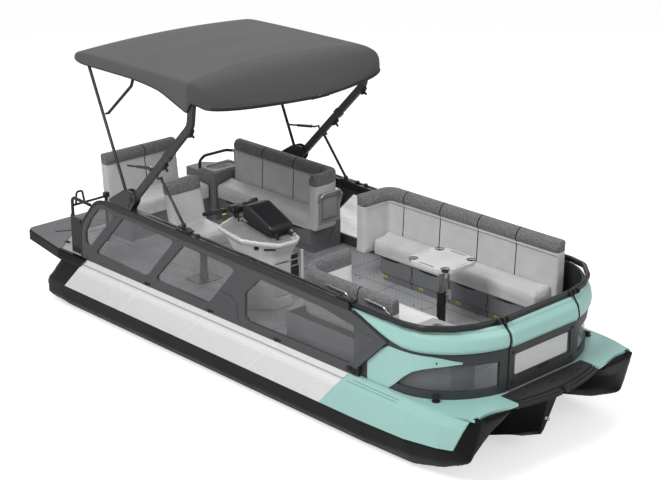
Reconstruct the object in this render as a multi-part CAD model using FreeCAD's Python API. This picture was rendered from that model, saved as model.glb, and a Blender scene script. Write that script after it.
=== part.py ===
import FreeCAD, Part
import math
import os

# Three-hull pontoon boat with a folding bimini top, in millimetres.
# +X points to the bow, +Y to port, +Z up; stations are measured forward
# from the swim platform's aft edge, heights up from the keels.

V = FreeCAD.Vector
loa = 6400.0                # overall length
beam = 2320.0               # width over the side panels
clear = 0.3                 # seat gap between pieces that only touch
run_gap = 6.0               # gap beside pieces that move

# Hulls
skin_t = 14.0               # side panel thickness
side_half = beam / 2 - skin_t       # hull side at the chine
crease_step = 18.0          # tumblehome from chine to crease
deck_step = 48.0            # and from chine to deck
crease_half = side_half - crease_step
deck_half = side_half - deck_step
keel_y = side_half - 158    # outer keels
keel_flat = 12.0
bilge_y = side_half - 46
hull_in = keel_y - 388      # inner wall of an outer hull
hull_top = 640.0            # hull tops, under the deck
deck_t = 25.0               # deck plate
deck_z = hull_top + deck_t
chine_z = 300.0
crease_z = 560.0
transom_x = 447.0
forefoot_x = loa - 1300     # sections are constant up to here
stem_x = loa - 132          # outer stem at the chine's height
stem_rake = 0.246
stem_half = 20.0
roof_z = 480.0              # tunnel roof
centre_transom_x = 600.0
centre_stem_x = loa - 232
centre_rake = 0.273
cap_aft_x = loa - 1763      # white panel meets the bow cap here, at the chine
cap_lean = 0.884            # and this far forward per millimetre of height
panel_aft_x = 833.0
panel_aft_z = 276.0
panel_lean = 0.974

# Fence
fence_t = 30.0
fence_y = deck_half + 14    # outer face
fence_in = fence_y - fence_t
pane_t = 6.0
window_r = 40.0
rail_w = 90.0
rail_h = 70.0
rail_aft_x = 1700.0
rail_aft_z = 1385.0
rail_fwd_x = loa - 1440
rail_fwd_z = 1312.0
edge_tube_r = 18.0
bow_rail_z = 1297.0
bow_rail_r = 20.0
bow_top = bow_rail_z - bow_rail_r - clear
gate_half = 432.0           # bow passage half width
gate_x = loa - 258          # outer face of the gate's frame
platform_half = gate_half + 95
hinge_x = gate_x - 108

# Seats
seat_z = 1118.0             # rear edge of the cushions
seat_fall = 56.0            # and how far they fall to the front
seat_t = 173.0
lip_drop = 22.0             # front lip hanging over the base
back_z = 1532.0
back_t = 118.0
wall = 12.0


def rounded_wire(points, radius):
    """Closed outline with every corner an arc, as large as its edges allow."""
    edges = []
    ends = []
    count = len(points)
    for i, corner in enumerate(points):
        a = points[i - 1].sub(corner)
        b = points[(i + 1) % count].sub(corner)
        reach = 0.45 * min(a.Length, b.Length)
        a.normalize()
        b.normalize()
        half = math.acos(max(-1, min(1, a.dot(b)))) / 2
        setback = min(radius / math.tan(half), reach)
        bend = setback * math.tan(half)
        inward = a.add(b).normalize()
        start = corner.add(V(a).multiply(setback))
        end = corner.add(V(b).multiply(setback))
        middle = corner.add(inward.multiply(bend / math.sin(half) - bend))
        ends.append((start, middle, end))
    for i, (start, middle, end) in enumerate(ends):
        edges.append(Part.Arc(start, middle, end).toShape())
        edges.append(Part.LineSegment(end, ends[(i + 1) % count][0]).toShape())
    return Part.Wire(edges)


def rounded_prism_y(outline, y0, y1, radius):
    wire = rounded_wire([V(x, y0, z) for x, z in outline], radius)
    return Part.Face(wire).extrude(V(0, y1 - y0, 0))


def rounded_prism_z(outline, z0, z1, radius):
    wire = rounded_wire([V(x, y, z0) for x, y in outline], radius)
    return Part.Face(wire).extrude(V(0, 0, z1 - z0))


def box(x0, x1, y0, y1, z0, z1):
    return Part.makeBox(x1 - x0, y1 - y0, z1 - z0, V(x0, y0, z0))


def prism(points, direction):
    wire = Part.makePolygon(points + [points[0]])
    return Part.Face(wire).extrude(direction)


def prism_y(outline, y0, y1):
    return prism([V(x, y0, z) for x, z in outline], V(0, y1 - y0, 0))


def prism_z(outline, z0, z1):
    return prism([V(x, y, z0) for x, y in outline], V(0, 0, z1 - z0))


def prism_x(outline, x0, x1):
    return prism([V(x0, y, z) for y, z in outline], V(x1 - x0, 0, 0))


def loft(sections):
    wires = [Part.makePolygon(s + [s[0]]) for s in sections]
    return Part.makeLoft(wires, True, True)


def fair_edge(points):
    """One smooth edge through the points."""
    curve = Part.BSplineCurve()
    curve.interpolate(points)
    return curve.toShape()


def line_edge(start, end):
    return Part.LineSegment(start, end).toShape()


def port_to_starboard(shape):
    return shape.mirror(V(0, 0, 0), V(0, 1, 0))


def both_sides(shape):
    return Part.makeCompound([shape, port_to_starboard(shape)])


def across_boat(port):
    """Closed plan outline from its port half, given aft to bow."""
    return port + [(x, -y) for x, y in reversed(port) if y > 0]


def rounded(shape, radius, pick=None):
    edges = [e for e in shape.Edges if pick is None or pick(e)]
    return shape.makeFillet(radius, edges) if edges else shape


def upright(edge):
    a, b = edge.Vertexes[0].Point, edge.Vertexes[-1].Point
    return abs(a.x - b.x) < 0.01 and abs(a.y - b.y) < 0.01


def along(axis):
    def test(edge):
        a, b = edge.Vertexes[0].Point, edge.Vertexes[-1].Point
        run = b.sub(a)
        return run.Length > 0.01 and abs(abs(run.normalize().dot(axis)) - 1) < 0.001
    return test


def rod(start, end, radius):
    run = end.sub(start)
    return Part.makeCylinder(radius, run.Length, start, run)


def bent_path(points, bend):
    """Straight runs joined by tangent arcs of one radius."""
    edges = []
    last = points[0]
    for before, corner, after in zip(points, points[1:], points[2:]):
        a = before.sub(corner).normalize()
        b = after.sub(corner).normalize()
        half = math.acos(max(-1, min(1, a.dot(b)))) / 2
        setback = bend / math.tan(half)
        start = corner.add(a.multiply(setback))
        end = corner.add(b.multiply(setback))
        inward = before.sub(corner).normalize().add(after.sub(corner).normalize()).normalize()
        middle = corner.add(inward.multiply(bend / math.sin(half) - bend))
        if start.distanceToPoint(last) > 0.01:
            edges.append(line_edge(last, start))
        edges.append(Part.Arc(start, middle, end).toShape())
        last = end
    edges.append(line_edge(last, points[-1]))
    return Part.Wire(edges)


def tube(points, radius, bend=80.0):
    if len(points) == 2:
        return rod(points[0], points[1], radius)
    path = bent_path(points, bend)
    start = points[0]
    ring = Part.Wire(Part.makeCircle(radius, start, points[1].sub(start)))
    return path.makePipeShell([ring], True, True)


def bar(points, width, height, side, bend=80.0):
    """Rectangular tube: height lies along side, width square to it."""
    path = bent_path(points, bend)
    start = points[0]
    run = points[1].sub(start).normalize()
    across = run.cross(side).normalize()
    corners = []
    for a, b in ((1, 1), (-1, 1), (-1, -1), (1, -1)):
        corners.append(start.add(V(across).multiply(a * width / 2)).add(V(side).multiply(b * height / 2)))
    ring = Part.makePolygon(corners + [corners[0]])
    return path.makePipeShell([ring], True, True)


def swept(plan, bend, outline):
    """Level sweep of an outline (offset to the left of travel, height)."""
    points = [V(x, y, 0) for x, y in plan]
    path = bent_path(points, bend)
    run = points[1].sub(points[0]).normalize()
    left = V(-run.y, run.x, 0)
    corners = [V(points[0].x + left.x * o, points[0].y + left.y * o, z) for o, z in outline]
    ring = Part.makePolygon(corners + [corners[0]])
    return path.makePipeShell([ring], True, True)


def moved_left(points, distance):
    """Open path of (x, z) points moved to its left."""
    normals = []
    for (x0, z0), (x1, z1) in zip(points, points[1:]):
        length = math.hypot(x1 - x0, z1 - z0)
        normals.append(((z0 - z1) / length, (x1 - x0) / length))
    moved = []
    for i, (x, z) in enumerate(points):
        a = normals[max(i - 1, 0)]
        b = normals[min(i, len(normals) - 1)]
        share = distance / (1 + a[0] * b[0] + a[1] * b[1])
        moved.append((x + share * (a[0] + b[0]), z + share * (a[1] + b[1])))
    return moved


def rail_z(x):
    return rail_aft_z + (x - rail_aft_x) * (rail_fwd_z - rail_aft_z) / (rail_fwd_x - rail_aft_x)


# Hulls: each station gives the plane's place, its rake and the section.

def tilted(x, rake, z_ref, outline):
    return [V(x + rake * (z - z_ref), y, z) for y, z in outline]


def outer_section(x, rake, tuck, bilge, keel_z, inner, roof):
    """Section whose topsides are tucked in from the parallel body's."""
    top, crease, side = (half - t for half, t in zip((deck_half, crease_half, side_half), tuck))
    inner_y, inner_z = inner
    outline = [(hull_in, hull_top), (top, hull_top), (crease, crease_z), (side, chine_z + keel_z * 0.3),
               bilge, (keel_y + keel_flat, keel_z), (keel_y - keel_flat, keel_z),
               (inner_y, inner_z), ((inner_y + hull_in) / 2 + 20, (inner_z + roof) / 2 + 40), (hull_in, roof)]
    return tilted(x, rake, chine_z, outline)


def stem_tuck():
    return tuple(half - keel_y - stem_half for half in (deck_half, crease_half, side_half))


def outer_hull():
    inner = keel_y - 268
    body = ((0, 0, 0), (bilge_y, 110), 0, (inner, 130), roof_z)
    hull = loft([
        outer_section(transom_x, 0, *body),
        outer_section(forefoot_x, 0, *body),
        outer_section(loa - 750, 0.06, (0, 0, 0), (bilge_y, 150), 12, (inner + 15, 165), roof_z + 30),
        outer_section(loa - 420, 0.14, (14, 22, 34), (bilge_y - 30, 200), 95, (inner + 80, 235), 540),
        outer_section(loa - 240, 0.20, (48, 68, 86), (bilge_y - 64, 255), 180, (inner + 160, 290), 575),
        outer_section(stem_x, stem_rake, stem_tuck(), (keel_y + stem_half, 296), 240,
                      (keel_y - stem_half, 310), 605)])
    seam_x = platform_seam_x
    rake = prism_y([(transom_x - 10, -10), (520, -10), (446, 99), (485, 263), (seam_x, platform_z - 4),
                    (seam_x, hull_top + 1), (transom_x - 10, hull_top + 1)], hull_in - 10, side_half + 10)
    step = prism_y([(440, -1), (685, -1), (622, 40), (440, 46)], hull_in - 10, side_half + 10)
    return hull.cut(rake).cut(step).fuse(stem_cap())


def stem_cap():
    """Raked nose piece that carries the stem up to the deck."""
    foot = stem_x - 4
    slope = stem_rake * (deck_z - chine_z)
    side = rounded_prism_y([(foot - 95, chine_z + 100), (foot, chine_z + 30), (foot + slope, deck_z - 6),
                            (foot + slope - 24, deck_z + 6), (foot + slope - 70, deck_z + 6)],
                           keel_y - stem_half - 14, keel_y + stem_half + 6, 12)
    return side


def centre_section(x, rake, z_ref, roof, wall_y, wall_z, chine, chine_height, keel_z):
    half = hull_in - clear
    port = [(0, keel_z), (chine, chine_height), (wall_y, wall_z), (half, roof), (half, hull_top)]
    starboard = [(-y, z) for y, z in reversed(port[1:])]
    return tilted(x, rake, z_ref, port + starboard)


engine_x0, engine_x1 = 1000.0, 1590.0
engine_half = 230.0
engine_z0, engine_z1 = 170.0, 610.0
pump_x0, pump_x1 = 470.0, 800.0
pump_r = 95.0
pump_z = 190.0
pump_wall = 12.0
shaft_r = 12.0


def centre_hull():
    body = (0, 0, roof_z, hull_in - 170, roof_z - 12, 300, 80, 0)
    hull = loft([
        centre_section(centre_transom_x, *body),
        centre_section(forefoot_x, *body),
        centre_section(loa - 668, 0.06, 144, roof_z + 30, 400, roof_z, 285, 70, 12),
        centre_section(loa - 427, 0.16, 144, 550, 300, 490, 150, 120, 52),
        centre_section(centre_stem_x, centre_rake, 144, 605, 70, 560, 24, 190, 144)])
    bay = box(engine_x0 - 20, engine_x1 + 20, -engine_half - 20, engine_half + 20, engine_z0, hull_top + 1)
    pocket = Part.makeCylinder(pump_r + clear, pump_x1 - centre_transom_x + 1,
                               V(centre_transom_x - 1, 0, pump_z), V(1, 0, 0))
    intake = prism_y([(pump_x1 - 1, pump_z - 60), (pump_x1 - 1, pump_z + 60), (pump_x1 + 100, pump_z + 60),
                      (pump_x1 + 560, -10), (pump_x1 + 160, -10)], -80, 80)
    return hull.cut(bay).cut(pocket).cut(intake)


def panel_outline(tuck=(0, 0, 0), low=0.0):
    """Skin section: flat top strake, groove, fold and lower strake."""
    top, crease, side = (half - t for half, t in zip((deck_half, crease_half, side_half), tuck))
    z = chine_z + low
    fold = crease_z + 34
    return [(top + clear, deck_z), (top + clear, hull_top), (crease + clear, crease_z), (side + clear, z),
            (side + skin_t, z), (crease + skin_t + 3, crease_z - 6), (crease + skin_t - 10, fold),
            (crease + skin_t - 14, fold + 3), (crease + skin_t - 9, fold + 7), (top + skin_t, deck_z - 7),
            (top + skin_t - 8, deck_z)]


def side_panel():
    panel = prism_x(panel_outline(), 700, forefoot_x)
    y0, y1 = deck_half - 60, beam / 2 + 40
    aft_low, aft_high = panel_aft_x, panel_aft_x + panel_lean * (deck_z + 1 - panel_aft_z)
    aft = prism_y([(aft_high, deck_z + 1), (aft_low, panel_aft_z), (aft_low, 0), (600, 0), (600, 800),
                   (aft_high, 800)], y0, y1)
    fore_low, fore_high = cap_aft_x, cap_aft_x + cap_lean * (deck_z + 1 - 294)
    fore = prism_y([(fore_low, 294), (fore_high, deck_z + 1), (fore_high, 800), (fore_high + 300, 800),
                    (fore_high + 300, 0), (fore_low, 0)], y0, y1)
    return panel.cut(aft).cut(fore)


# Bow plan: the fence's foot line and the deck's outer edge, port side.

foot_y = fence_y - 36
foot_x0 = loa - 1410        # the straight run starts here, at the side fence
corner_x0 = loa - 1020      # and the corner here
corner_turn = [(0.356, 0.963), (0.594, 0.82), (0.866, 0.446), (1.0, 0.0)]


def foot_line():
    run = gate_x - 14 - corner_x0
    line = [(foot_x0, foot_y), (corner_x0 - 160, foot_y), (corner_x0, foot_y)]
    return line + [(corner_x0 + a * run, gate_half + b * (foot_y - gate_half)) for a, b in corner_turn]


def deck():
    port = [(transom_x, 0)] + platform_edge()[::-1] + [(foot_x0 - 85, deck_half)]
    port += [(x + 6, y + 10) for x, y in foot_line()[:-1]]
    port += [(gate_x, gate_half), (gate_x, 0)]
    return prism_z(across_boat(port), hull_top, deck_z)


cap_edge = [(-1435, 14), (-750, 14), (-567, 8), (-420, -6), (-240, -42), (-125, -78), (-54, -88)]


def bow_cap():
    """Deck corner with a scooped front edge, and the skin under it."""
    low = hull_top + clear
    edge = [V(loa + x, deck_half + y, low) for x, y in cap_edge]
    scoop = [edge[-1], V(loa - 112, keel_y - 62, low), V(loa - 118, keel_y - 118, low),
             V(loa - 96, keel_y - 260, low), V(loa - 60, platform_half + clear, low)]
    back = [V(gate_x + clear, platform_half + clear, low), V(gate_x + clear, gate_half, low)]
    back += [V(x + 6, y + 10, low) for x, y in reversed(foot_line()[:-1])]
    back += [V(foot_x0 - 85, deck_half + clear, low)]
    edges = [line_edge(edge[0], edge[1]), fair_edge(edge[1:]), fair_edge(scoop)]
    corners = [scoop[-1]] + back + [edge[0]]
    edges += [line_edge(a, b) for a, b in zip(corners, corners[1:])]
    top = Part.Face(Part.Wire(edges)).extrude(V(0, 0, deck_t - clear))

    def skin(x, rake, tuck, chine):
        lap = hull_top + 6
        top_y, crease, side = (half - t for half, t in zip((deck_half, crease_half, side_half), tuck))
        outline = [(top_y + clear, lap), (top_y + clear, hull_top), (crease + clear, crease_z),
                   (side + clear, chine_z + chine), (side + skin_t, chine_z + chine),
                   (crease + skin_t, crease_z), (top_y + skin_t, hull_top), (top_y + skin_t, lap)]
        return tilted(x, rake, chine_z, outline)

    side = loft([
        skin(cap_aft_x + 3, 0, (0, 0, 0), 0),
        skin(forefoot_x, 0, (0, 0, 0), 0),
        skin(loa - 750, 0.06, (0, 0, 0), 17),
        skin(loa - 420, 0.14, (14, 22, 34), 42),
        skin(loa - 240, 0.20, (48, 68, 86), 59),
        skin(stem_x, stem_rake, stem_tuck(), 79)])
    fore_high = cap_aft_x + cap_lean * (deck_z + 1 - 294)
    aft_cut = prism_y([(cap_aft_x + clear, 294), (fore_high + clear, deck_z + 1), (fore_high + clear, 800),
                       (4000, 800), (4000, 0), (cap_aft_x + clear, 0)], deck_half - 60, beam / 2 + 40)
    lower, upper = stem_x - 165, stem_x + 18
    nose = [(lower, 290), (upper, deck_z + 20), (loa + 60, deck_z + 20), (loa + 60, 290)]
    inner_y, outer_y = keel_y - stem_half - 14 - clear, keel_y + stem_half + 6 + clear
    side = side.cut(prism_y(nose, inner_y, beam / 2 + 40))
    return top.cut(prism_y(nose, inner_y, outer_y)).fuse(side).cut(aft_cut)


lip_x = 84.0                # the lip stands this far behind the length's end at its sides
lip_bow = 84.0              # and swells forward by this in the middle


def bow_platform():
    """Boarding step: a tread with a bowed, doubled front lip and a notch."""
    half = platform_half
    tread_x = gate_x + clear

    def plan(inset, z0, z1):
        sides = loa - lip_x - inset
        bow = [(-1, 0), (-0.5, 0.72), (0, 1), (0.5, 0.72), (1, 0)]
        front = fair_edge([V(sides + swell * lip_bow, share * half, z0) for share, swell in bow])
        back = [V(sides, half, z0), V(tread_x, half, z0), V(tread_x, -half, z0), V(sides, -half, z0)]
        edges = [front] + [line_edge(a, b) for a, b in zip(back, back[1:])]
        return Part.Face(Part.Wire(edges)).extrude(V(0, 0, z1 - z0))

    step = plan(52, hull_top + clear, deck_z - 2)
    step = step.fuse(plan(14, hull_top + clear, hull_top + 9)).fuse(plan(0, 604, hull_top + clear).cut(
        box(tread_x - 1, loa - 95, -half - 1, half + 1, 600, hull_top + clear)))
    groove = plan(-20, 620, 625).cut(plan(8, 619, 626))
    notch = rounded(box(loa - 56, loa + 10, -30, 30, 590, deck_z), 12, upright)
    slots = [box(loa - 150, loa - 138, y - 16, y + 16, deck_z - 12, deck_z) for y in (-260, 0, 260)]
    step = step.cut(groove).cut(notch)
    for slot in slots:
        step = step.cut(slot)
    return step


platform_seam_x = 757.0     # where the swim platform's joint reaches the side
platform_seam_y = 730.0     # and where it turns across the boat
platform_z = 566.0


def platform_edge():
    """Joint line between the platform and the boat, port side, outermost first."""
    return [(platform_seam_x, deck_half), (transom_x, platform_seam_y)]


def outboard(edge, half):
    """Rim edges on the platform's outer boundary."""
    extent = edge.BoundBox
    long_side = extent.XLength > 500 and min(abs(extent.YMin), abs(extent.YMax)) > half
    return extent.XMax < 200 or long_side


def swim_platform():
    """Aft step with round corners, lapping over the hulls' stern ledges."""
    side_y = keel_y + 40
    port = [(0, 0), (0, side_y - 60), (60, side_y), (platform_seam_x, deck_half + 46)]
    port += [(x - clear, y) for x, y in platform_edge()] + [(transom_x - clear, 0)]
    outline = [V(x, y, platform_z) for x, y in across_boat(port)]
    plate = Part.Face(Part.makePolygon(outline + [outline[0]])).extrude(V(0, 0, deck_z + 5 - platform_z))
    plate = rounded(plate, 60, lambda e: upright(e) and e.Vertexes[0].X < 70)
    rim = [e for e in plate.Edges if e.BoundBox.ZMin > deck_z + 4]
    plate = plate.makeFillet(18, [e for e in rim if outboard(e, side_y - 70)])
    well = box(200, transom_x + 1, -hull_in, hull_in, platform_z - 1, platform_z + 40)
    return plate.cut(well)


def stern_cap():
    """Moulded quarter between the platform's joint and the white panel."""
    y_out = deck_half + 46
    inner = deck_half + clear
    outline = [(inner, deck_z + 3), (inner, hull_top), (crease_half + clear, crease_z),
               (crease_half + clear, platform_z - 8), (y_out + 2, platform_z), (y_out + 6, hull_top - 40),
               (y_out, deck_z - 8), (y_out - 10, deck_z + 3)]
    cap = prism_x(outline, platform_seam_x + clear, 1300)
    high = panel_aft_x + panel_lean * (deck_z + 10 - panel_aft_z)
    fore = prism_y([(panel_aft_x - clear, panel_aft_z), (high - clear, deck_z + 10), (1400, deck_z + 10),
                    (1400, panel_aft_z)],
                   deck_half - 10, y_out + 30)
    foot_x = fence_edge()[0][0] - 2 * edge_tube_r - clear - 2
    foot = box(foot_x, 1400, deck_half - 1, y_out + 30, deck_z, deck_z + 20)
    return cap.cut(fore).cut(foot)


# Side fence: a moulded frame with four smoked windows, edged aft by a tube.

def fence_edge():
    """Aft edge from the foot up and forward to the rail, as (x, z)."""
    return [(1140, deck_z), (1146, 1010), (1400, 1305), (1560, 1330)]


def fence_outline_edges(y):
    """Edges of the fence's outline; the aft one bends in two arcs."""
    aft = [V(x, y, z) for x, z in fence_edge()]
    path = bent_path(aft, 240)
    fore = [(rail_aft_x, rail_z(rail_aft_x) - rail_h), (rail_fwd_x, rail_z(rail_fwd_x) - rail_h),
            (rail_fwd_x + 442, 1082), (plate_x0 - 8, 750), (plate_x0 - 8, deck_z)]
    fore = [aft[-1]] + [V(x, y, z) for x, z in fore] + [aft[0]]
    return path.Edges + [line_edge(a, b) for a, b in zip(fore, fore[1:])]


def windows():
    f = rail_fwd_x
    return [
        [(1206, 850), (1210, 965), (1300, 1110), (1440, 1258), (1590, 1288), (1668, 1262), (1672, 1225),
         (1268, 812)],
        [(1850, 1270), (2592, 1240), (2610, 1215), (2215, 790), (2150, 757), (1400, 775), (1385, 800)],
        [(2762, 1228), (3420, 1212), (3490, 1180), (3140, 790), (3084, 756), (2360, 765), (2345, 805)],
        [(3838, 1200), (f - 320, 1170), (f + 255, 1085), (f + 280, 1050), (f + 50, 795), (f - 11, 757),
         (3673, 745), (3628, 780), (3635, 1010)]]


def fence():
    frame = Part.Face(Part.Wire(fence_outline_edges(fence_in))).extrude(V(0, fence_t, 0))
    for outline in windows():
        frame = frame.cut(rounded_prism_y(outline, fence_in - 1, fence_y + 1, window_r))
    return frame


def fence_panes():
    mid = fence_y - fence_t / 2
    panes = [rounded_prism_y(w, mid - pane_t / 2, mid + pane_t / 2, window_r) for w in windows()]
    return Part.makeCompound(panes)


def side_rail():
    """Top rail with an open track slot, and the tube round the fence's end."""
    y1 = fence_y + 14
    y0 = y1 - rail_w
    x0, x1 = rail_aft_x, rail_fwd_x
    top0, top1 = rail_z(x0), rail_z(x1)
    low0, low1 = top0 - rail_h + clear, top1 - rail_h + clear
    outline = [(x0 - 140, low0 + 16), (x0, low0), (x1, low1), (x1 + 14, low1 + 14), (x1 + 14, top1 - 12),
               (x1, top1), (x0, top0), (x0 - 110, top0 - 8), (x0 - 140, top0 - 30)]
    rail = prism_y(outline, y0, y1)
    run = V(x1 - x0, 0, top1 - top0).normalize()
    rail = rounded(rail, 8, lambda e: along(run)(e) and e.BoundBox.XLength > 1000)
    slot_x0, slot_x1 = x0 + 500, x1 - 80
    slot = prism_y([(slot_x0, rail_z(slot_x0) - 14), (slot_x1, rail_z(slot_x1) - 14), (slot_x1, 1500),
                    (slot_x0, 1500)], y0 + 32, y0 + 52)
    edge = moved_left(fence_edge(), edge_tube_r + clear)
    mid = fence_y - fence_t / 2
    line = [(edge[0][0], deck_z + 4)] + edge[1:]
    hoop = tube([V(x, mid, z) for x, z in line], edge_tube_r, 240 + edge_tube_r)
    return rail.cut(slot).fuse(hoop)


# Bow fence: walls swept along the foot line, leaning aft towards the rail.

def foot_stations(count):
    line = foot_line()
    curve = Part.BSplineCurve()
    curve.interpolate([V(x, y, 0) for x, y in line])
    stations = []
    for i in range(count):
        u = curve.FirstParameter + (curve.LastParameter - curve.FirstParameter) * i / (count - 1)
        point = curve.value(u)
        tangent = curve.tangent(u)[0]
        out = V(-tangent.y, tangent.x, 0).normalize()
        if i == count - 1:
            out = V(1, 0, 0)
            point = V(line[-1][0], line[-1][1], 0)
        stations.append((i / (count - 1), point, out))
    return stations


def wall_loft(stations, section):
    sections = []
    for s, point, out in stations:
        sections.append([V(point.x + out.x * o, point.y + out.y * o, z) for o, z in section(s, point.x)])
    return loft(sections)


plate_x0 = foot_x0 + 85     # aft edge of the teal corner plate
pane_low, pane_high = 735.0, 962.0
band_low_gate = 1058.0


def profile(points, x):
    """Height read off a list of (x, z) points joined by straight runs."""
    if x <= points[0][0]:
        return points[0][1]
    for (x0, z0), (x1, z1) in zip(points, points[1:]):
        if x <= x1:
            return z0 + (z1 - z0) * (x - x0) / (x1 - x0)
    return points[-1][1]


def fence_fall(x):
    """The side fence's falling front edge."""
    return profile([(rail_fwd_x, rail_z(rail_fwd_x) - rail_h), (rail_fwd_x + 442, 1082)], x)


def band_low(x):
    """The band's lower edge: along the fence's fall, then level to the gate."""
    f = rail_fwd_x
    level = profile([(f + 442, 1100), (f + 600, 1070), (f + 760, band_low_gate)], x)
    return max(level, fence_fall(x) + 12) if x < f + 442 else level


def plate_low(x):
    f = rail_fwd_x
    return profile([(f + 448, deck_z + 1), (f + 540, 753), (f + 635, 850), (f + 705, 900), (f + 825, 944),
                    (f + 1000, 984)], x)


def plate_high(x):
    x0 = plate_x0
    rise = profile([(x0, 752), (rail_fwd_x + 445, 1078)], x)
    fall = profile([(rail_fwd_x + 860, 1046), (rail_fwd_x + 1022, 996)], x)
    return min(rise, band_low(x) - 14, fall)


def upright_strip(outer, inner, low, high):
    return [(outer, low), (outer, high), (inner, high), (inner, low)]


def bow_fence():
    def section(s, x):
        lean = -40 * s
        low = band_low(x)
        return [(0, deck_z), (4 + 6 * s, low + 12), (lean - 8, bow_top), (lean - 30, bow_top),
                (-26, low), (-30, deck_z)]
    wall_piece = wall_loft(bow_stations, section)
    part = [st for st in bow_stations if st[1].x > rail_fwd_x + 470 and st[0] < 0.97]
    return wall_piece.cut(wall_loft(part, lambda s, x: upright_strip(60, -80, pane_low, pane_top(x))))


def pane_top(x):
    return max(pane_low + 12, min(pane_high, plate_low(x) + 4))


def bow_pane():
    part = [st for st in bow_stations if st[1].x > rail_fwd_x + 470 and st[0] < 0.97]
    return wall_loft(part, lambda s, x: upright_strip(-12, -18, pane_low, pane_top(x)))


def bow_plate():
    """Teal corner plate that tapers to a tip along the wall."""
    part = [st for st in bow_stations if plate_x0 - 1 < st[1].x < rail_fwd_x + 1030]
    reach = clear + 4

    def section(s, x):
        low = max(plate_low(x), deck_z + 1) if x > rail_fwd_x + 448 else deck_z + 1
        high = max(plate_high(x), low + 6)
        inner = [(clear + (4 + 6 * s) * (z - deck_z) / (band_low(x) + 12 - deck_z), z) for z in (low, high)]
        return [inner[0], (inner[0][0] + reach, low), (inner[1][0] + reach, high), inner[1]]

    return wall_loft(part, section)


def bow_band():
    """Convex band over the upper fence, with a folded-in top edge."""
    def section(s, x):
        lean = -40 * s
        low = band_low(x)
        rise = bow_top - low
        start = 4 + 6 * s
        grow = 0.4 + 0.6 * min(1, s / 0.35)
        return [(start + 6, low), (start + 4 + 16 * grow, low + 0.07 * rise),
                (start + 6 + 24 * grow, low + 0.22 * rise), (start + 4 + 22 * grow, low + 0.42 * rise),
                (start + 2 + 12 * grow, low + 0.64 * rise),
                (start - 2 + 0.6 * lean, low + 0.84 * rise), (start - 6 + 0.7 * lean, low + 0.87 * rise),
                (lean + 2, bow_top - 5), (lean - 6, bow_top), (lean - 7.5, bow_top), (start + 0.5, low + 12),
                (start + 0.5, low)]
    return wall_loft(bow_stations, section)


bow_stations = foot_stations(19)


def bow_rail():
    r = bow_rail_r
    y0, y1 = foot_y + 5, gate_half + 2
    x0 = rail_fwd_x + 14 + clear
    bend = [(x0, y0), (corner_x0 + 180, y0), (corner_x0 + 360, y0 - 41), (corner_x0 + 535, y0 - 211),
            (corner_x0 + 630, y0 - 391), (gate_x - 79, y1)]
    return tube([V(x, y, bow_rail_z) for x, y in bend], r, 110)


gate_pane_half = gate_half - 84
gate_pane_low, gate_pane_high = 794.0, 980.0
knuckle_z = (780.0, 1000.0)
knuckle_h = 60.0
hinge_y = gate_half - 4


def gate_hinge_leaves():
    """Fixed halves of the gate's two hinges, on the port post."""
    halves = []
    for z in knuckle_z:
        low = z - knuckle_h - clear
        knuckle = Part.makeCylinder(9, knuckle_h, V(hinge_x, hinge_y, low))
        leaf = box(hinge_x, gate_x - 30, hinge_y + 4, hinge_y + 9, low, low + knuckle_h)
        halves.append(knuckle.fuse(leaf))
    return halves


def gate_window(x0, x1, grow, radius):
    half = gate_pane_half + grow
    pane = box(x0, x1, -half, half, gate_pane_low - grow, gate_pane_high + grow)
    return rounded(pane, radius, along(V(1, 0, 0)))


def gate_frame():
    half = gate_half - run_gap
    top_z = bow_rail_z - bow_rail_r + 4
    outline = [(gate_x, deck_z + 14), (gate_x + 6, band_low_gate + 12), (gate_x - 62, top_z),
               (gate_x - 84, top_z), (gate_x - 28, band_low_gate), (gate_x - 30, deck_z + 14)]
    frame = prism_y(outline, -half, half)
    hole = gate_window(gate_x - 60, gate_x + 40, 0, 24)
    reveal = gate_window(gate_x - 6, gate_x + 40, 22, 40)
    top = tube([V(gate_x - 79, -half, bow_rail_z), V(gate_x - 79, half, bow_rail_z)], bow_rail_r)
    knuckles = [Part.makeCylinder(9, knuckle_h, V(hinge_x, hinge_y, z)) for z in knuckle_z]
    leaves = [box(hinge_x, gate_x - 25, hinge_y - 9, hinge_y - 3, z, z + knuckle_h) for z in knuckle_z]
    frame = frame.cut(hole).cut(reveal).fuse([top])
    for piece in knuckles + leaves:
        frame = frame.fuse(piece)
    return frame


def gate_pane():
    return gate_window(gate_x - 18, gate_x - 12, 0, 24)


def gate_band():
    half = gate_half - run_gap
    low = band_low_gate
    rise = bow_top - low
    outline = [(gate_x + 16, low), (gate_x + 30, low + 0.07 * rise), (gate_x + 40, low + 0.22 * rise),
               (gate_x + 36, low + 0.42 * rise), (gate_x + 24, low + 0.64 * rise),
               (gate_x - 22, low + 0.84 * rise), (gate_x - 30, low + 0.87 * rise),
               (gate_x - 50, bow_top - 5), (gate_x - 58, bow_top),
               (gate_x - 59.3, bow_top), (gate_x + 6.4, low + 12), (gate_x + 6.4, low)]
    return prism_y(outline, -half, half)


# Stern rails: a hoop over the port corner, a gate bar to starboard.

stern_rail_x = 885.0
stern_rail_z = 1300.0


def stern_rail(foot_z):
    z = stern_rail_z
    inner_y = fence_in - 20
    foot_y = corner_in + 70
    x = stern_rail_x
    line = [(x, foot_y, foot_z), (x, foot_y, z - 42), (x, foot_y + 70, z), (x, fence_in - 82, z),
            (990, inner_y, z), (1180, inner_y, 1230), (1250, inner_y, 1140)]
    hoop = tube([V(*point) for point in line], 16, 60)
    post_y = fence_in - 32
    post = rod(V(985, post_y, deck_z + clear), V(985, post_y, z + 20), 18)
    return hoop.fuse(post)


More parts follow.
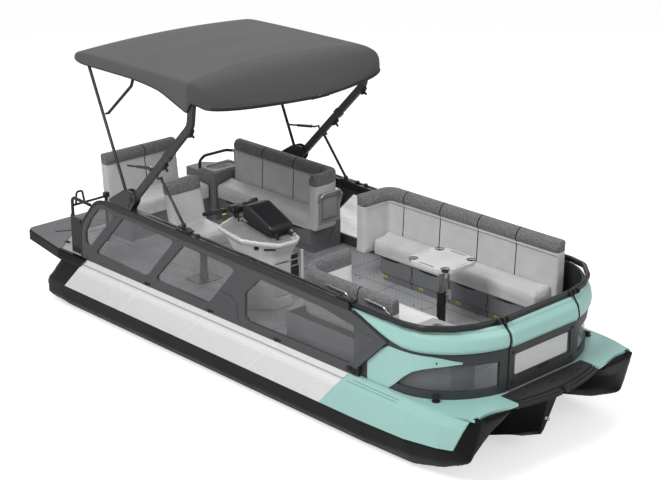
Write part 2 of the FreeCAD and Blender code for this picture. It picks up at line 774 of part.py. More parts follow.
def starboard_stern_rail():
    """Corner post with its top tube, the boarding bar and a grab hoop."""
    y0 = -(fence_in - 38)
    inner_y = -(fence_in - 20)
    panel = prism_x([(y0 - 16, deck_z), (y0 + 16, deck_z), (y0 + 16, 1061), (y0 - 16, 1061)], 890, 1050)
    panel = panel.cut(prism_y([(890, 1062), (1051, 1062), (1051, 1030), (960, 1046)], y0 - 20, y0 + 20))
    top = tube([V(910, y0, 1045), V(910, y0, 1240), V(1240, inner_y, 1240)], 16, 50)
    end_y = -(stern_y + 120)
    bar_piece = rod(V(910, y0, 1150), V(900, end_y, 1150), 12)
    grab = [(y0 + 46, 1150), (y0 + 60, 1278), (y0 + 128, 1278), (y0 + 152, 1150)]
    hoop = tube([V(905, y, z) for y, z in grab], 11, 26)
    post = rod(V(900, end_y, deck_z), V(900, end_y, 1176), 17)
    head = box(876, 924, end_y - 26, end_y + 26, 1140, 1190)
    whole = panel
    for piece in (top, bar_piece, hoop, post, head):
        whole = whole.fuse(piece)
    return whole


# Seats: hollow moulded bases, cushions that lift, backs with a head roll.

port_back = fence_in - 260
port_front = port_back - 230
port_outer = fence_in - 46
cushion_low = seat_z - seat_t
lounge_x0, lounge_x1 = loa - 2855, loa - 840
bench_x0, bench_x1 = 1196.0, 2640.0
stern_x0, stern_x1 = 800.0, 1150.0
stern_y = 500.0
stern_back_y1 = 438.0
corner_in = 560.0           # corner box's side towards the stern bench
bay = 475.0                 # spacing of the base's mould lines
groove = 5.0
seat_bend = 40.0            # inner radius where a back wraps round a corner
seat_round = 26.0


def base_section(front, rear, z1):
    """Hollow section: flush under the lip, leaning in to a recessed foot."""
    outer = [(front + 62, deck_z), (front + 52, deck_z + 70), (front + 40, deck_z + 78), (front + 24, z1),
             (rear, z1), (rear, deck_z)]
    inner = [(front + 74, deck_z + wall), (front + 66, deck_z + 70), (front + 54, deck_z + 88),
             (front + 37, z1 + 1), (rear - wall, z1 + 1), (rear - wall, deck_z + wall)]
    return outer, inner


def side_base(x0, x1, front, rear, z1, lines):
    outer, inner = base_section(front, rear, z1)
    shell = prism_x(outer, x0, x1).cut(prism_x(inner, x0 + wall, x1 - wall))
    for x in lines:
        shell = shell.cut(prism_x([(front - 1, deck_z + 60), (front + 58, deck_z + 60), (front + 28, z1 + 1),
                                   (front - 1, z1 + 1)], x - groove / 2, x + groove / 2))
    return shell


def side_cushion(x0, x1, front, rear, z1=seat_z, fall=seat_fall, thick=seat_t, corner=None):
    """Seat cushion: falls to the front, where a lip hangs over the base; corner
    is the end whose rear edge is rounded to sit inside a wrapped back."""
    low = z1 - thick + clear
    pad = prism_x([(front, low - lip_drop), (front, z1 - fall), (rear, z1), (rear, low), (front + 23, low),
                   (front + 20, low - lip_drop)], x0, x1)
    if corner is not None:
        pad = rounded(pad, seat_bend + 2, lambda e: upright(e) and abs(e.BoundBox.XMin - corner) < 0.1
                      and abs(e.BoundBox.YMin - rear) < 0.1)
    upper = [e for e in pad.Edges if e.BoundBox.ZMin > z1 - fall - 1 and
             (e.BoundBox.XLength > 1 or e.BoundBox.YLength > 1)]
    sides = [e for e in pad.Edges if upright(e) and abs(e.BoundBox.YMin - front) < 0.1]
    return pad.makeFillet(seat_round, upper + sides)


def back_outline(low, top, lean=22, roll=14):
    """Section of a back: front face at 0, pad, groove, head roll, then the rear."""
    rear = 22 - back_t - lean
    return [(0, low), (-lean, top - 126), (-lean + 8, top - 118), (-lean + 6 + roll, top - 92),
            (-lean + roll, top - 42), (-lean - 12, top - 8), (-lean - 36, top), (rear + 16, top),
            (rear, top - 26), (-back_t, low)]


def mirrored(outline):
    return [(-offset, z) for offset, z in outline]


def lounge_base():
    lines = [lounge_x1 - 90 - bay * k for k in range(1, 5)]
    return side_base(lounge_x0 + 90, lounge_x1 - 20, port_front, port_outer, cushion_low, lines)


def port_base():
    lines = [bench_x1 - bay * k for k in range(1, 3)]
    return side_base(bench_x0, bench_x1 - 4, port_front, port_outer, cushion_low, lines)


def lounge_back():
    """Back that wraps round the lounge's aft end in one sweep."""
    face_x, face_y = lounge_x0 - 5, port_back + clear
    return swept([(lounge_x1 + 50, face_y), (face_x, face_y), (face_x, port_front - 112)], seat_bend,
                 back_outline(cushion_low + clear, back_z))


def port_bench_back():
    """Back that wraps round the bench's forward end."""
    face_x, face_y = bench_x1 + 6, port_back + clear
    return swept([(bench_x0 + 4, face_y), (face_x, face_y), (face_x, port_front - 30)], seat_bend,
                 mirrored(back_outline(cushion_low + clear, back_z)))


def stern_base():
    y0, y1 = -stern_y + 30, corner_in - run_gap
    outer, inner = base_section(-stern_x1, -stern_x0 + 140, cushion_low)
    outer = [(-x, z) for x, z in outer]
    inner = [(-x, z) for x, z in inner]
    return prism_y(outer, y0, y1).cut(prism_y(inner, y0 + wall, y1 - wall))


def stern_cushion():
    pad = side_cushion(-stern_y + 20, corner_in - run_gap, -stern_x1, -stern_x0 - 4)
    pad.rotate(V(0, 0, 0), V(0, 0, 1), 90)
    return pad


def stern_back():
    return swept([(stern_x0 - 2, stern_back_y1), (stern_x0 - 2, -stern_y)], seat_bend,
                 back_outline(cushion_low + clear, back_z, 58))


corner_top = 1180.0
corner_x1 = bench_x0 - run_gap
lid_x0, lid_x1 = 935.0, corner_x1 - 14
lid_y0, lid_y1 = corner_in + 36, fence_in - 92


def corner_plan(inset):
    i = inset
    return [(740 + i, corner_in + i), (corner_x1 - 30 - i * 0.4, corner_in + i),
            (corner_x1 - i, corner_in + 30 + i * 0.4), (corner_x1 - i, fence_in - 37 - i),
            (1060 + i * 0.4, fence_in - 37 - i), (740 + i, 790 - i * 0.5)]


def corner_box():
    """Storage box filling the stern corner, its top open under the lid."""
    shell = prism_z(corner_plan(0), deck_z, corner_top)
    room = prism_z(corner_plan(14), deck_z + wall, corner_top - wall)
    mouth = box(lid_x0 + 14, lid_x1 - 14, lid_y0 + 14, lid_y1 - 14, corner_top - wall - 1, corner_top + 1)
    return shell.cut(room).cut(mouth)


def corner_lid():
    def plate(inset, z0, z1):
        return box(lid_x0 + inset, lid_x1 - inset, lid_y0 + inset, lid_y1 - inset, z0, z1)

    lid = rounded(plate(0, corner_top + clear, corner_top + 30), 24, upright)
    return lid.cut(rounded(plate(26, corner_top + 12, corner_top + 60), 60, upright))


bow_seat_x0, bow_seat_x1 = loa - 2170, loa - 1110
bow_seat_z = 1072.0
bow_seat_fall = 24.0
bow_seat_t = 122.0
bow_seat_back_y = -(port_outer - 190)
bow_seat_front = bow_seat_back_y + 516
bow_back_z = 1385.0
bow_corner_r = 130.0        # inner radius of the back round the corner
bow_split_x = bow_seat_x0 + bow_corner_r + 16


def bow_seat_base():
    lines = [bow_seat_x1 - 60 - bay * k for k in range(1, 3)]
    top = bow_seat_z - bow_seat_t
    shell = side_base(bow_seat_x0 - 130, bow_seat_x1 - 20, -bow_seat_front, port_outer, top, lines)
    return port_to_starboard(shell)


def bow_seat_cushion():
    pad = side_cushion(bow_split_x + run_gap, bow_seat_x1, -bow_seat_front, -bow_seat_back_y - 2, bow_seat_z,
                       bow_seat_fall, bow_seat_t)
    return port_to_starboard(pad)


def bow_seat_corner():
    """Fixed cushion that fills the rounded inner corner."""
    low = bow_seat_z - bow_seat_t + clear
    x0, x1 = bow_seat_x0 + 2, bow_split_x
    y0, y1 = bow_seat_back_y + 2, bow_seat_front
    block = prism_y([(x0, low), (x1, low), (x1, bow_seat_z - 6), (x0, bow_seat_z - 6)], y0, y1)
    block = rounded(block, bow_corner_r + 2,
                    lambda e: upright(e) and e.BoundBox.XMax < x0 + 1 and e.BoundBox.YMax < y0 + 1)
    slope = prism_x([(y0 - 1, bow_seat_z), (y1 + 1, bow_seat_z - bow_seat_fall), (y1 + 1, bow_seat_z + 20),
                     (y0 - 1, bow_seat_z + 20)], x0 - 1, x1 + 1)
    return block.cut(slope)


def bow_seat_back():
    """Back swept round the seat's aft corner."""
    low = bow_seat_z - bow_seat_t + clear
    outline = [(0, low), (-16, bow_back_z - 40), (-32, bow_back_z - 8), (-52, bow_back_z), (-88, bow_back_z),
               (-106, bow_back_z - 30), (-110, low)]
    face_x = bow_seat_x0 - 4
    return swept([(bow_seat_x1 + 30, bow_seat_back_y), (face_x, bow_seat_back_y), (face_x, bow_seat_front)],
                 bow_corner_r, mirrored(outline))


# Helm

helm_x, helm_y = 2410.0, -585.0
pan_z = deck_z + 360


def chair_pedestal():
    plate = box(helm_x - 125, helm_x + 125, helm_y - 145, helm_y + 145, deck_z, deck_z + 8)
    plate = rounded(plate, 20, upright)
    column = Part.makeCone(46, 36, 120, V(helm_x, helm_y, deck_z + 8))
    column = column.fuse(Part.makeCylinder(36, 330 - 128, V(helm_x, helm_y, deck_z + 128)))
    return plate.fuse(column).fuse(Part.makeCylinder(75, 30, V(helm_x, helm_y, pan_z - 30)))


def chair():
    """Bucket chair: pad with a raised front bolster, leaning back, head roll."""
    base_z = pan_z + clear
    top_z = base_z + 165
    plate = box(helm_x - 150, helm_x + 150, helm_y - 130, helm_y + 130, base_z, base_z + 24)
    pad = prism_y([(helm_x - 225, base_z + 24), (helm_x - 225, top_z - 12), (helm_x + 120, top_z - 22),
                   (helm_x + 170, top_z + 6), (helm_x + 232, top_z - 6), (helm_x + 232, base_z + 40),
                   (helm_x + 200, base_z + 24)], helm_y - 222, helm_y + 222)
    pad = pad.makeFillet(16, pad.Edges)
    back = rounded(box(-48, 48, -215, 215, 0, 500), 34)
    roll = rounded(box(-60, 58, -190, 190, 350, 512), 42)
    for piece in (back, roll):
        piece.rotate(V(0, 0, 0), V(0, 1, 0), -12)
        piece.translate(V(helm_x - 216, helm_y, base_z + 92))
    hinge = box(helm_x - 250, helm_x - 150, helm_y - 120, helm_y + 120, base_z, base_z + 110)
    return plate.fuse(pad).fuse(back).fuse(roll).fuse(hinge)


console_x = helm_x + 470    # aft edge of the helm's deck, a reach ahead of the chair
console_aft_z = 1430.0
console_fall = 0.133        # the deck falls forward
rim_t = 44.0
console_waist_z = 1190.0
helm_plan = [(0, 55), (0, -55), (86, -286), (420, -290), (580, -170), (695, -50), (712, 150), (665, 228),
             (420, 288), (86, 286)]
tray_inset = [(24, 36), (24, -36), (104, -262), (412, -266), (562, -152), (672, -42), (688, 142), (646, 208),
              (412, 264), (104, 262)]
neck_plan = [(100, 50), (100, -50), (152, -268), (420, -276), (570, -162), (682, -48), (698, 146), (652, 216),
             (420, 274), (152, 268)]
foot_plan = [(272, 50), (272, -50), (282, -238), (420, -242), (545, -150), (622, -48), (640, 140), (606, 196),
             (420, 236), (282, 236)]
door_z0, door_z1 = 790.0, 1110.0


def deck_height(x):
    return console_aft_z - console_fall * (x - console_x)


def helm_ring(plan, z=None, drop=0.0):
    """Outline round the helm, level at z or parallel to the falling deck."""
    points = [(console_x + dx, helm_y + dy) for dx, dy in plan]
    return [V(x, y, deck_height(x) - drop if z is None else z) for x, y in points]


def slab(low, high):
    """Everything round the console between two depths under its deck."""
    x0, x1 = console_x - 30, console_x + 800
    return prism_y([(x0, deck_height(x0) - low), (x1, deck_height(x1) - low), (x1, deck_height(x1) - high),
                    (x0, deck_height(x0) - high)], helm_y - 400, helm_y + 400)


def console_body():
    return loft([helm_ring(foot_plan, deck_z), helm_ring(foot_plan, console_waist_z),
                 helm_ring(neck_plan, drop=rim_t - 2)])


def console():
    """Narrow trunk, a neck that flares, and a white rim round the fallen deck."""
    plan = helm_ring(helm_plan, console_waist_z)
    rim = prism(plan, V(0, 0, 400)).common(slab(rim_t, 0))
    inner = prism(helm_ring(tray_inset, console_waist_z), V(0, 0, 400)).common(slab(7, -60))
    return console_body().fuse(rim).cut(inner).cut(door_block(0)).cut(door_niche())


def door_block(gap):
    hinge_gap = min(gap, clear)
    return box(console_x + 590, console_x + 760, helm_y - 40 + hinge_gap, helm_y + 136 - gap,
               door_z0 + gap, door_z1 - gap)


def door_niche():
    return box(console_x + 430, console_x + 592, helm_y - 30, helm_y + 126, door_z0 + 12, door_z1 - 12)


def console_door():
    inner = console_body()
    inner.translate(V(-18, 0, 0))
    return console_body().common(door_block(run_gap)).cut(inner)


hood_x0, hood_x1 = console_x + 180, console_x + 600
hood_y0, hood_y1 = helm_y - 65, helm_y + 215


def console_hood():
    """Display hood: a rounded wedge on a plinth, between two tube rails."""
    x0, x1 = hood_x0, hood_x1
    lift = 46
    side = [(x0, deck_height(x0) + lift), (x0 + 6, 1588), (x0 + 90, 1606), (x1 - 20, deck_height(x1) + 118),
            (x1, deck_height(x1) + 92), (x1 - 6, deck_height(x1) + lift)]
    shell = prism_y(side, hood_y0, hood_y1)
    shell = shell.makeFillet(26, [e for e in shell.Edges if e.BoundBox.ZMax > deck_height(x1) + 80])
    seat = [(x0 + 30, deck_height(x0 + 30) - 7 + clear), (x0 + 30, deck_height(x0 + 30) + lift + 4),
            (x1 - 40, deck_height(x1 - 40) + lift + 4), (x1 - 40, deck_height(x1 - 40) - 7 + clear)]
    whole = shell.fuse(prism_y(seat, hood_y0 + 30, hood_y1 - 30))
    y0, y1 = hood_y0 - 26, hood_y1 + 26
    rise = 34
    aft_x, fore_x = x0 + 20, x1 + 26
    aft_z, fore_z = deck_height(aft_x) + rise + 20, deck_height(fore_x) + rise
    line = [(aft_x, y0, aft_z), (fore_x, y0, fore_z), (fore_x, y1, fore_z), (aft_x, y1, aft_z)]
    loop = tube([V(*point) for point in line], 11, 34)
    foot_x0, foot_x1 = x1 - 50, x1 + 34
    foot = [(foot_x0, deck_height(foot_x0) - 7 + clear), (foot_x1, deck_height(foot_x1) - 7 + clear),
            (foot_x1, deck_height(foot_x1) + rise), (foot_x0, deck_height(foot_x0) + lift + 4)]
    for y in (hood_y0 + 60, hood_y1 - 60):
        whole = whole.fuse(prism_y(foot, y - 12, y + 12))
    return whole.fuse(loop)


bar_x, bar_z = console_x + 34, 1500.0


def handlebar():
    column = rod(V(bar_x, helm_y, deck_height(bar_x - 26) + clear), V(bar_x, helm_y, bar_z), 26)
    half = [(0, 60, 0), (-40, 180, 10), (-90, 330, 0)]
    line = [(x, -y, z) for x, y, z in reversed(half)] + half
    grip = tube([V(bar_x + x, helm_y + y, bar_z + z) for x, y, z in line], 16, 60)
    pad = rounded(box(bar_x - 50, bar_x + 50, helm_y - 80, helm_y + 80, bar_z - 25, bar_z + 30), 18)
    return column.fuse(grip).fuse(pad)


table_x, table_y, table_z = loa - 1546, 150.0, 1340.0
cup_r = 40.0


def table_top():
    a, b, c = 252, 236, 90
    outline = [(a, b - c), (a - c, b), (-a + c, b), (-a, b - c), (-a, -b + c), (-a + c, -b), (a - c, -b),
               (a, -b + c)]
    top = rounded_prism_z([(table_x + x, table_y + y) for x, y in outline], table_z - 34, table_z, 40)
    for sx in (-1, 1):
        for sy in (-1, 1):
            cup = Part.makeCylinder(cup_r, 30, V(table_x + sx * 190, table_y + sy * 170, table_z - 22))
            top = top.cut(cup)
    return top


def table_post():
    post = Part.makeCylinder(28, table_z - 34 - deck_z - 8, V(table_x, table_y, deck_z + 8))
    foot = Part.makeCylinder(90, 8, V(table_x, table_y, deck_z))
    sleeve = Part.makeCylinder(38, 340, V(table_x, table_y, deck_z + 8))
    plate = box(table_x - 90, table_x + 90, table_y - 90, table_y + 90, table_z - 40, table_z - 34)
    clamp = rod(V(table_x, table_y, deck_z + 330), V(table_x + 75, table_y + 20, deck_z + 352), 9)
    return post.fuse(foot).fuse(sleeve).fuse(plate).fuse(clamp)


tray_z = 1096.0
tray_t = 34.0
tray_x0 = bow_seat_x1 + 36


def tray_plan(grow):
    """Starboard bow corner's plan, following the wall inside the fence."""
    reach_x = corner_x0 + 560
    gap = 58 - grow
    beside = [station for station in bow_stations if tray_x0 + 20 < station[1].x < reach_x]
    outer = [(p.x - out.x * gap, -(p.y - out.y * gap)) for s, p, out in beside]
    inner = -gate_half - 10 + grow
    return [(tray_x0, outer[0][1])] + outer + [(reach_x - 55, inner - 114), (reach_x - 120, inner - 54),
                                               (reach_x - 240, inner), (tray_x0, inner - 40)]


def bow_tray_base():
    return prism_z(tray_plan(0), deck_z, tray_z - tray_t - clear)


def bow_tray():
    tray = prism_z(tray_plan(12), tray_z - tray_t, tray_z)
    for x, y in tray_cups():
        tray = tray.cut(Part.makeCylinder(42, 30, V(x, y, tray_z - 24)))
    return tray


def tray_cups():
    return [(tray_x0 + 150, -gate_half - 140), (tray_x0 + 290, -gate_half - 140)]


# Engine, pump and steering nozzle

def engine():
    return box(engine_x0, engine_x1, -engine_half, engine_half, engine_z0 + clear, engine_z1)


def jet_pump():
    axis = V(1, 0, 0)
    length = pump_x1 - pump_x0
    shell = Part.makeCylinder(pump_r, length, V(pump_x0, 0, pump_z), axis)
    shell = shell.cut(Part.makeCylinder(pump_r - pump_wall, length + 2, V(pump_x0 - 1, 0, pump_z), axis))
    ears = box(pump_x0 - 34, pump_x0 + 20, -22, 22, pump_z + pump_r - 10, pump_z + pump_r + 14)
    ears = ears.fuse(box(pump_x0 - 34, pump_x0 + 20, -22, 22, pump_z - pump_r - 14, pump_z - pump_r + 10))
    hub = Part.makeCylinder(20, 60, V(pump_x0 + 20, 0, pump_z), axis)
    seat = Part.makeCylinder(shaft_r + 0.05, 31, V(pump_x0 + 50, 0, pump_z), axis)
    vane = box(pump_x0 + 20, pump_x0 + 80, -4, 4, pump_z - pump_r + 4, pump_z + pump_r - 4)
    cross = box(pump_x0 + 20, pump_x0 + 80, -pump_r + 4, pump_r - 4, pump_z - 4, pump_z + 4)
    return shell.fuse(ears).fuse(hub).fuse(vane).fuse(cross).cut(seat)


def impeller():
    axis = V(1, 0, 0)
    x0 = pump_x0 + 100
    tip = pump_r - pump_wall - 7
    hub = Part.makeCylinder(26, 110, V(x0, 0, pump_z), axis)
    body = hub.fuse(Part.makeCylinder(shaft_r, 50, V(x0 - 48, 0, pump_z), axis))
    for i in range(4):
        lead = [(20, -4), (20, 4), (tip, 3), (tip, -3)]
        trail = [(14, 20), (10, 28), (tip - 26, 57), (tip - 22, 52)]
        edges = ((x0 + 10, lead), (x0 + 95, trail))
        blade = loft([[V(x, y, pump_z + z) for y, z in edge] for x, edge in edges])
        blade.rotate(V(x0, 0, pump_z), axis, 90 * i)
        body = body.fuse(blade)
    return body


def jet_nozzle():
    pivot = pump_x0 - 16
    cone = Part.makeCone(54, 74, 118, V(pivot - 116, 0, pump_z), V(1, 0, 0))
    bore = Part.makeCone(43, 63, 122, V(pivot - 118, 0, pump_z), V(1, 0, 0))
    reach = pump_r - 10 - clear
    pins = Part.makeCylinder(8, 2 * reach, V(pivot, 0, pump_z - reach))
    collar = Part.makeCylinder(12, 24, V(pivot, 0, pump_z + pump_r - 36))
    collar = collar.fuse(Part.makeCylinder(12, 24, V(pivot, 0, pump_z - pump_r + 12)))
    return cone.fuse(pins).fuse(collar).cut(bore)


# Bimini: arms on brackets, a rear bow, a mid bow, folding links and struts.

arm_y = fence_y - 23
arm_w, arm_h = 70.0, 43.0
plate_gap = 5.5
plate_t = 10.0
pivot_x, pivot_z = 2010.0, 1490.0
bend_x, bend_z = 2900.0, 2390.0
top_x, top_z = 2945.0, 2722.0
pole_x, pole_z = 1920.0, 1466.0
pole_r = 12.0
pole_top_x, pole_top_z = 1372.0, 2705.0
rear_bow_x = 1340.0
brace_x, brace_z = 1600.0, 2250.0
brace_y = arm_y - 43
mid_bow_x = 2010.0
strut_x, strut_z = 2382.0, 1780.0
strut_foot_x = 2702.0
strut_r = 11.0
link_x, link_z = 2264.0, 1843.0
link_aft_x, link_aft_z = 1833.0, 1778.0
link_y = arm_y - 59
link_r = 10.0
cloth_t = 8.0
sheet_half = arm_y + arm_h / 2 + cloth_t + 3
sheet_runs = 4              # straight runs in half a section's crown
hem_run, hem_fall = 140.0, 96.0    # rear flap, forward and down


def canopy_stations():
    """Station, half width, crown, shoulder and hem heights of the sheet."""
    h = sheet_half
    rear = [(1146, h - 34, 2806, 2772, 2712), (1240, h - 12, 2820, 2788, 2698),
            (1340, h - 4, 2828, 2792, 2690)]
    middle = [(2000, h, 2838, 2797, 2692), (2433, h, 2836, 2797, 2664), (2800, h, 2832, 2796, 2552),
              (2890, h, 2828, 2794, 2526), (2950, h, 2822, 2790, 2620), (3060, h - 6, 2802, 2766, 2612)]
    front = [(3120, h - 34, 2784, 2738, 2590), (3190, h - 110, 2758, 2700, 2580),
             (3280, h - 300, 2712, 2650, 2574), (3350, h - 540, 2668, 2618, 2572),
             (3405, h - 800, 2626, 2594, 2571), (3438, h - 1020, 2594, 2584, 2570)]
    return rear + middle + front


def sheet_points(half, crown, shoulder, hem):
    """Port half of a section: crown in straight runs, rolled edge, valance."""
    flat = half - 24
    points = []
    for k in range(sheet_runs + 1):
        share = k / sheet_runs
        points.append((flat * share, shoulder + (crown - shoulder) * (1 - share ** 2)))
    return points + [(half - 7, shoulder - 9), (half, shoulder - 28), (half + 3, hem)]


def sheet_height(half, crown, shoulder, hem, y):
    return profile(sheet_points(half, crown, shoulder, hem), abs(y))


def canopy_under(x, y):
    """Height of the sheet's underside."""
    rows = canopy_stations()
    for a, b in zip(rows, rows[1:]):
        if a[0] <= x <= b[0]:
            t = (x - a[0]) / (b[0] - a[0])
            aft, fore = sheet_height(*a[1:], y), sheet_height(*b[1:], y)
            return aft + t * (fore - aft) - cloth_t


def bow_points(x, ends_y, radius):
    """Points of a bow that follows the sheet's crown from side to side."""
    points = []
    for share in (1, 0.5, 0, -0.5, -1):
        y = ends_y * share
        slope = (canopy_under(x + 1, y) - canopy_under(x - 1, y)) / 2
        points.append(V(x, y, canopy_under(x, y) - (radius + clear) * math.hypot(1, slope)))
    return points


def bimini_brackets():
    """Forward-leaning side plates on the rails, and the struts' carriages."""
    low, high = rail_z(1700) + clear, rail_z(1990) + clear
    outline = [(1650, low + 30), (1884, 1560), (1950, 1580), (2040, 1572), (2072, 1535), (2058, 1470),
               (1990, high), (1700, low)]
    y_in = arm_y - arm_h / 2 - plate_gap
    y_out = arm_y + arm_h / 2 + plate_gap
    inner = prism_y(outline, y_in - plate_t, y_in)
    outer = prism_y(outline, y_out, y_out + plate_t)
    y_face = y_out + plate_t
    face = [(1690, low + 44), (1886, 1546), (1946, 1562), (2026, 1556), (1960, 1400), (1718, low + 16)]
    panel = prism_y(face, y_face, y_face + 5)
    foot = prism_y([(1700, low), (1990, high), (1990, high + 20), (1700, low + 20)], y_in - plate_t, y_face)
    bracket = inner.fuse(outer.fuse(panel)).fuse(foot)
    for x, z, r in ((pivot_x, pivot_z, 10), (pole_x, pole_z, 6)):
        bracket = bracket.fuse(Part.makeCylinder(r, y_out - y_in + 2, V(x, y_in - 1, z), V(0, 1, 0)))
    x0 = strut_foot_x - 60
    top = rail_z(strut_foot_x) + 22
    wedge = [(x0, rail_z(x0) + clear), (x0 + 190, rail_z(x0 + 190) + clear), (x0 + 190, top - 18),
             (x0 + 120, top), (x0, top)]
    carriage = prism_y(wedge, brace_y - 22, brace_y + 22)
    return both_sides(bracket.fuse(carriage))


def along_arm(distance):
    """Point on the arm's straight run, measured from its pivot."""
    run = V(bend_x - pivot_x, 0, bend_z - pivot_z).normalize()
    return V(pivot_x, arm_y, pivot_z).add(run.multiply(distance))


def arch():
    """Arch of square tube: two arms, a bend upright and a cross bow."""
    side_axis = V(0, 1, 0)
    arm = bar([V(pivot_x, arm_y, pivot_z), V(bend_x, arm_y, bend_z), V(top_x, arm_y, top_z)],
              arm_w, arm_h, side_axis, 160)
    collar = bar([along_arm(735), along_arm(800)], arm_w + 14, arm_h + 9, side_axis)
    eye = Part.makeCylinder(arm_w / 2, arm_h, V(pivot_x, arm_y - arm_h / 2, pivot_z), side_axis)
    lugs = [rod(V(strut_x, arm_y - 10, strut_z), V(strut_x - 30, arm_y - 10, strut_z + 70), 9),
            rod(V(link_x, arm_y - 10, link_z), V(link_x + 30, arm_y - 10, link_z - 50), 9)]
    pins = [rod(V(strut_x, arm_y - 20, strut_z), V(strut_x, arm_y, strut_z), 9),
            rod(V(link_x, arm_y - 20, link_z), V(link_x, arm_y, link_z), 9)]
    side = arm.fuse(eye).fuse(collar)
    for piece in lugs + pins:
        side = side.fuse(piece)
    pin_hole = Part.makeCylinder(10.05, arm_h + 2, V(pivot_x, arm_y - arm_h / 2 - 1, pivot_z), side_axis)
    side = side.cut(pin_hole)
    cross = tube(bow_points(top_x, arm_y - 4, 20), 20, 200)
    return cross.fuse(side).fuse(port_to_starboard(side))


def rear_bow():
    crown = bow_points(rear_bow_x, arm_y - 70, pole_r)
    foot = V(pole_x, arm_y, pole_z)
    top = V(pole_top_x, arm_y, pole_top_z)
    other = [V(p.x, -p.y, p.z) for p in (top, foot)]
    bow = tube([foot, top] + crown + other, pole_r, 40)
    eye = Part.makeCylinder(16, 20, V(pole_x, arm_y - 10, pole_z), V(0, 1, 0))
    for piece in (eye, port_to_starboard(eye)):
        bow = bow.fuse(piece)
    hole = Part.makeCylinder(6.05, 4 * arm_y, V(pole_x, -2 * arm_y, pole_z), V(0, 1, 0))
    return bow.cut(hole)


def mid_bow():
    crown = bow_points(mid_bow_x, brace_y - 40, pole_r)
    foot = V(brace_x, brace_y, brace_z)
    knee = V(mid_bow_x - 25, brace_y, 2590)
    other = [V(p.x, -p.y, p.z) for p in (knee, foot)]
    bow = tube([foot, knee] + crown + other, pole_r, 40)
    pin = rod(V(brace_x, brace_y - 14, brace_z), V(brace_x, arm_y - pole_r - clear, brace_z), 8)
    return bow.fuse(pin).fuse(port_to_starboard(pin))


def struts():
    heel_r = strut_r + 4
    foot_z = rail_z(strut_foot_x) + 22 + clear + heel_r
    leg = rod(V(strut_x, brace_y, strut_z), V(strut_foot_x, brace_y, foot_z), strut_r)
    pin = rod(V(strut_x, brace_y - 13, strut_z), V(strut_x, arm_y - 20 - clear, strut_z), 9)
    heel = rod(V(strut_foot_x, brace_y - 13, foot_z), V(strut_foot_x, brace_y + 13, foot_z), heel_r)
    return both_sides(leg.fuse(pin).fuse(heel))


def links():
    """Locking links: a slim rod in a thicker sleeve."""
    front = V(link_x, link_y, link_z)
    rear = V(link_aft_x + 14, link_y, link_aft_z + 2)
    run = rear.sub(front)
    leg = rod(front, rear, link_r)
    sleeve = rod(front.add(V(run).multiply(0.12)), front.add(V(run).multiply(0.62)), link_r + 5)
    pin = rod(V(link_x, link_y - 12, link_z), V(link_x, arm_y - 20 - clear, link_z), 9)
    return both_sides(leg.fuse(sleeve).fuse(pin))


def canopy():
    """Closed sheet: crown, rolled edges, valances, bowed front and a rear flap."""
    def across(half):
        return [V(0, -y, z) for y, z in reversed(half[1:])] + [V(0, y, z) for y, z in half]

    sections = []
    for x, *shape in canopy_stations():
        half = sheet_points(*shape)
        (roll_y, roll_z), (side_y, side_z), (hem_y, hem_z) = half[-3:]
        under = [(y, z - cloth_t) for y, z in half[:-3]]
        under += [(roll_y - 6, roll_z - 6), (side_y - cloth_t, side_z), (hem_y - cloth_t, hem_z)]
        ring = across(half) + across(under)[::-1]
        sections.append([V(x, p.y, p.z) for p in ring])
    x0, *shape = canopy_stations()[0]
    crown = across(sheet_points(*shape)[:-3])
    strip = [V(x0 + 1, p.y, p.z - 1) for p in crown]
    strip += [V(x0 + 1, p.y, p.z - cloth_t + 1) for p in reversed(crown)]
    return loft(sections).fuse(prism(strip, V(hem_run, 0, -hem_fall)))


def save(name, shape):
    placed = shape.copy()
    placed.translate(V(-loa / 2, 0, 0))
    placed.exportStep("parts/" + name + ".step")


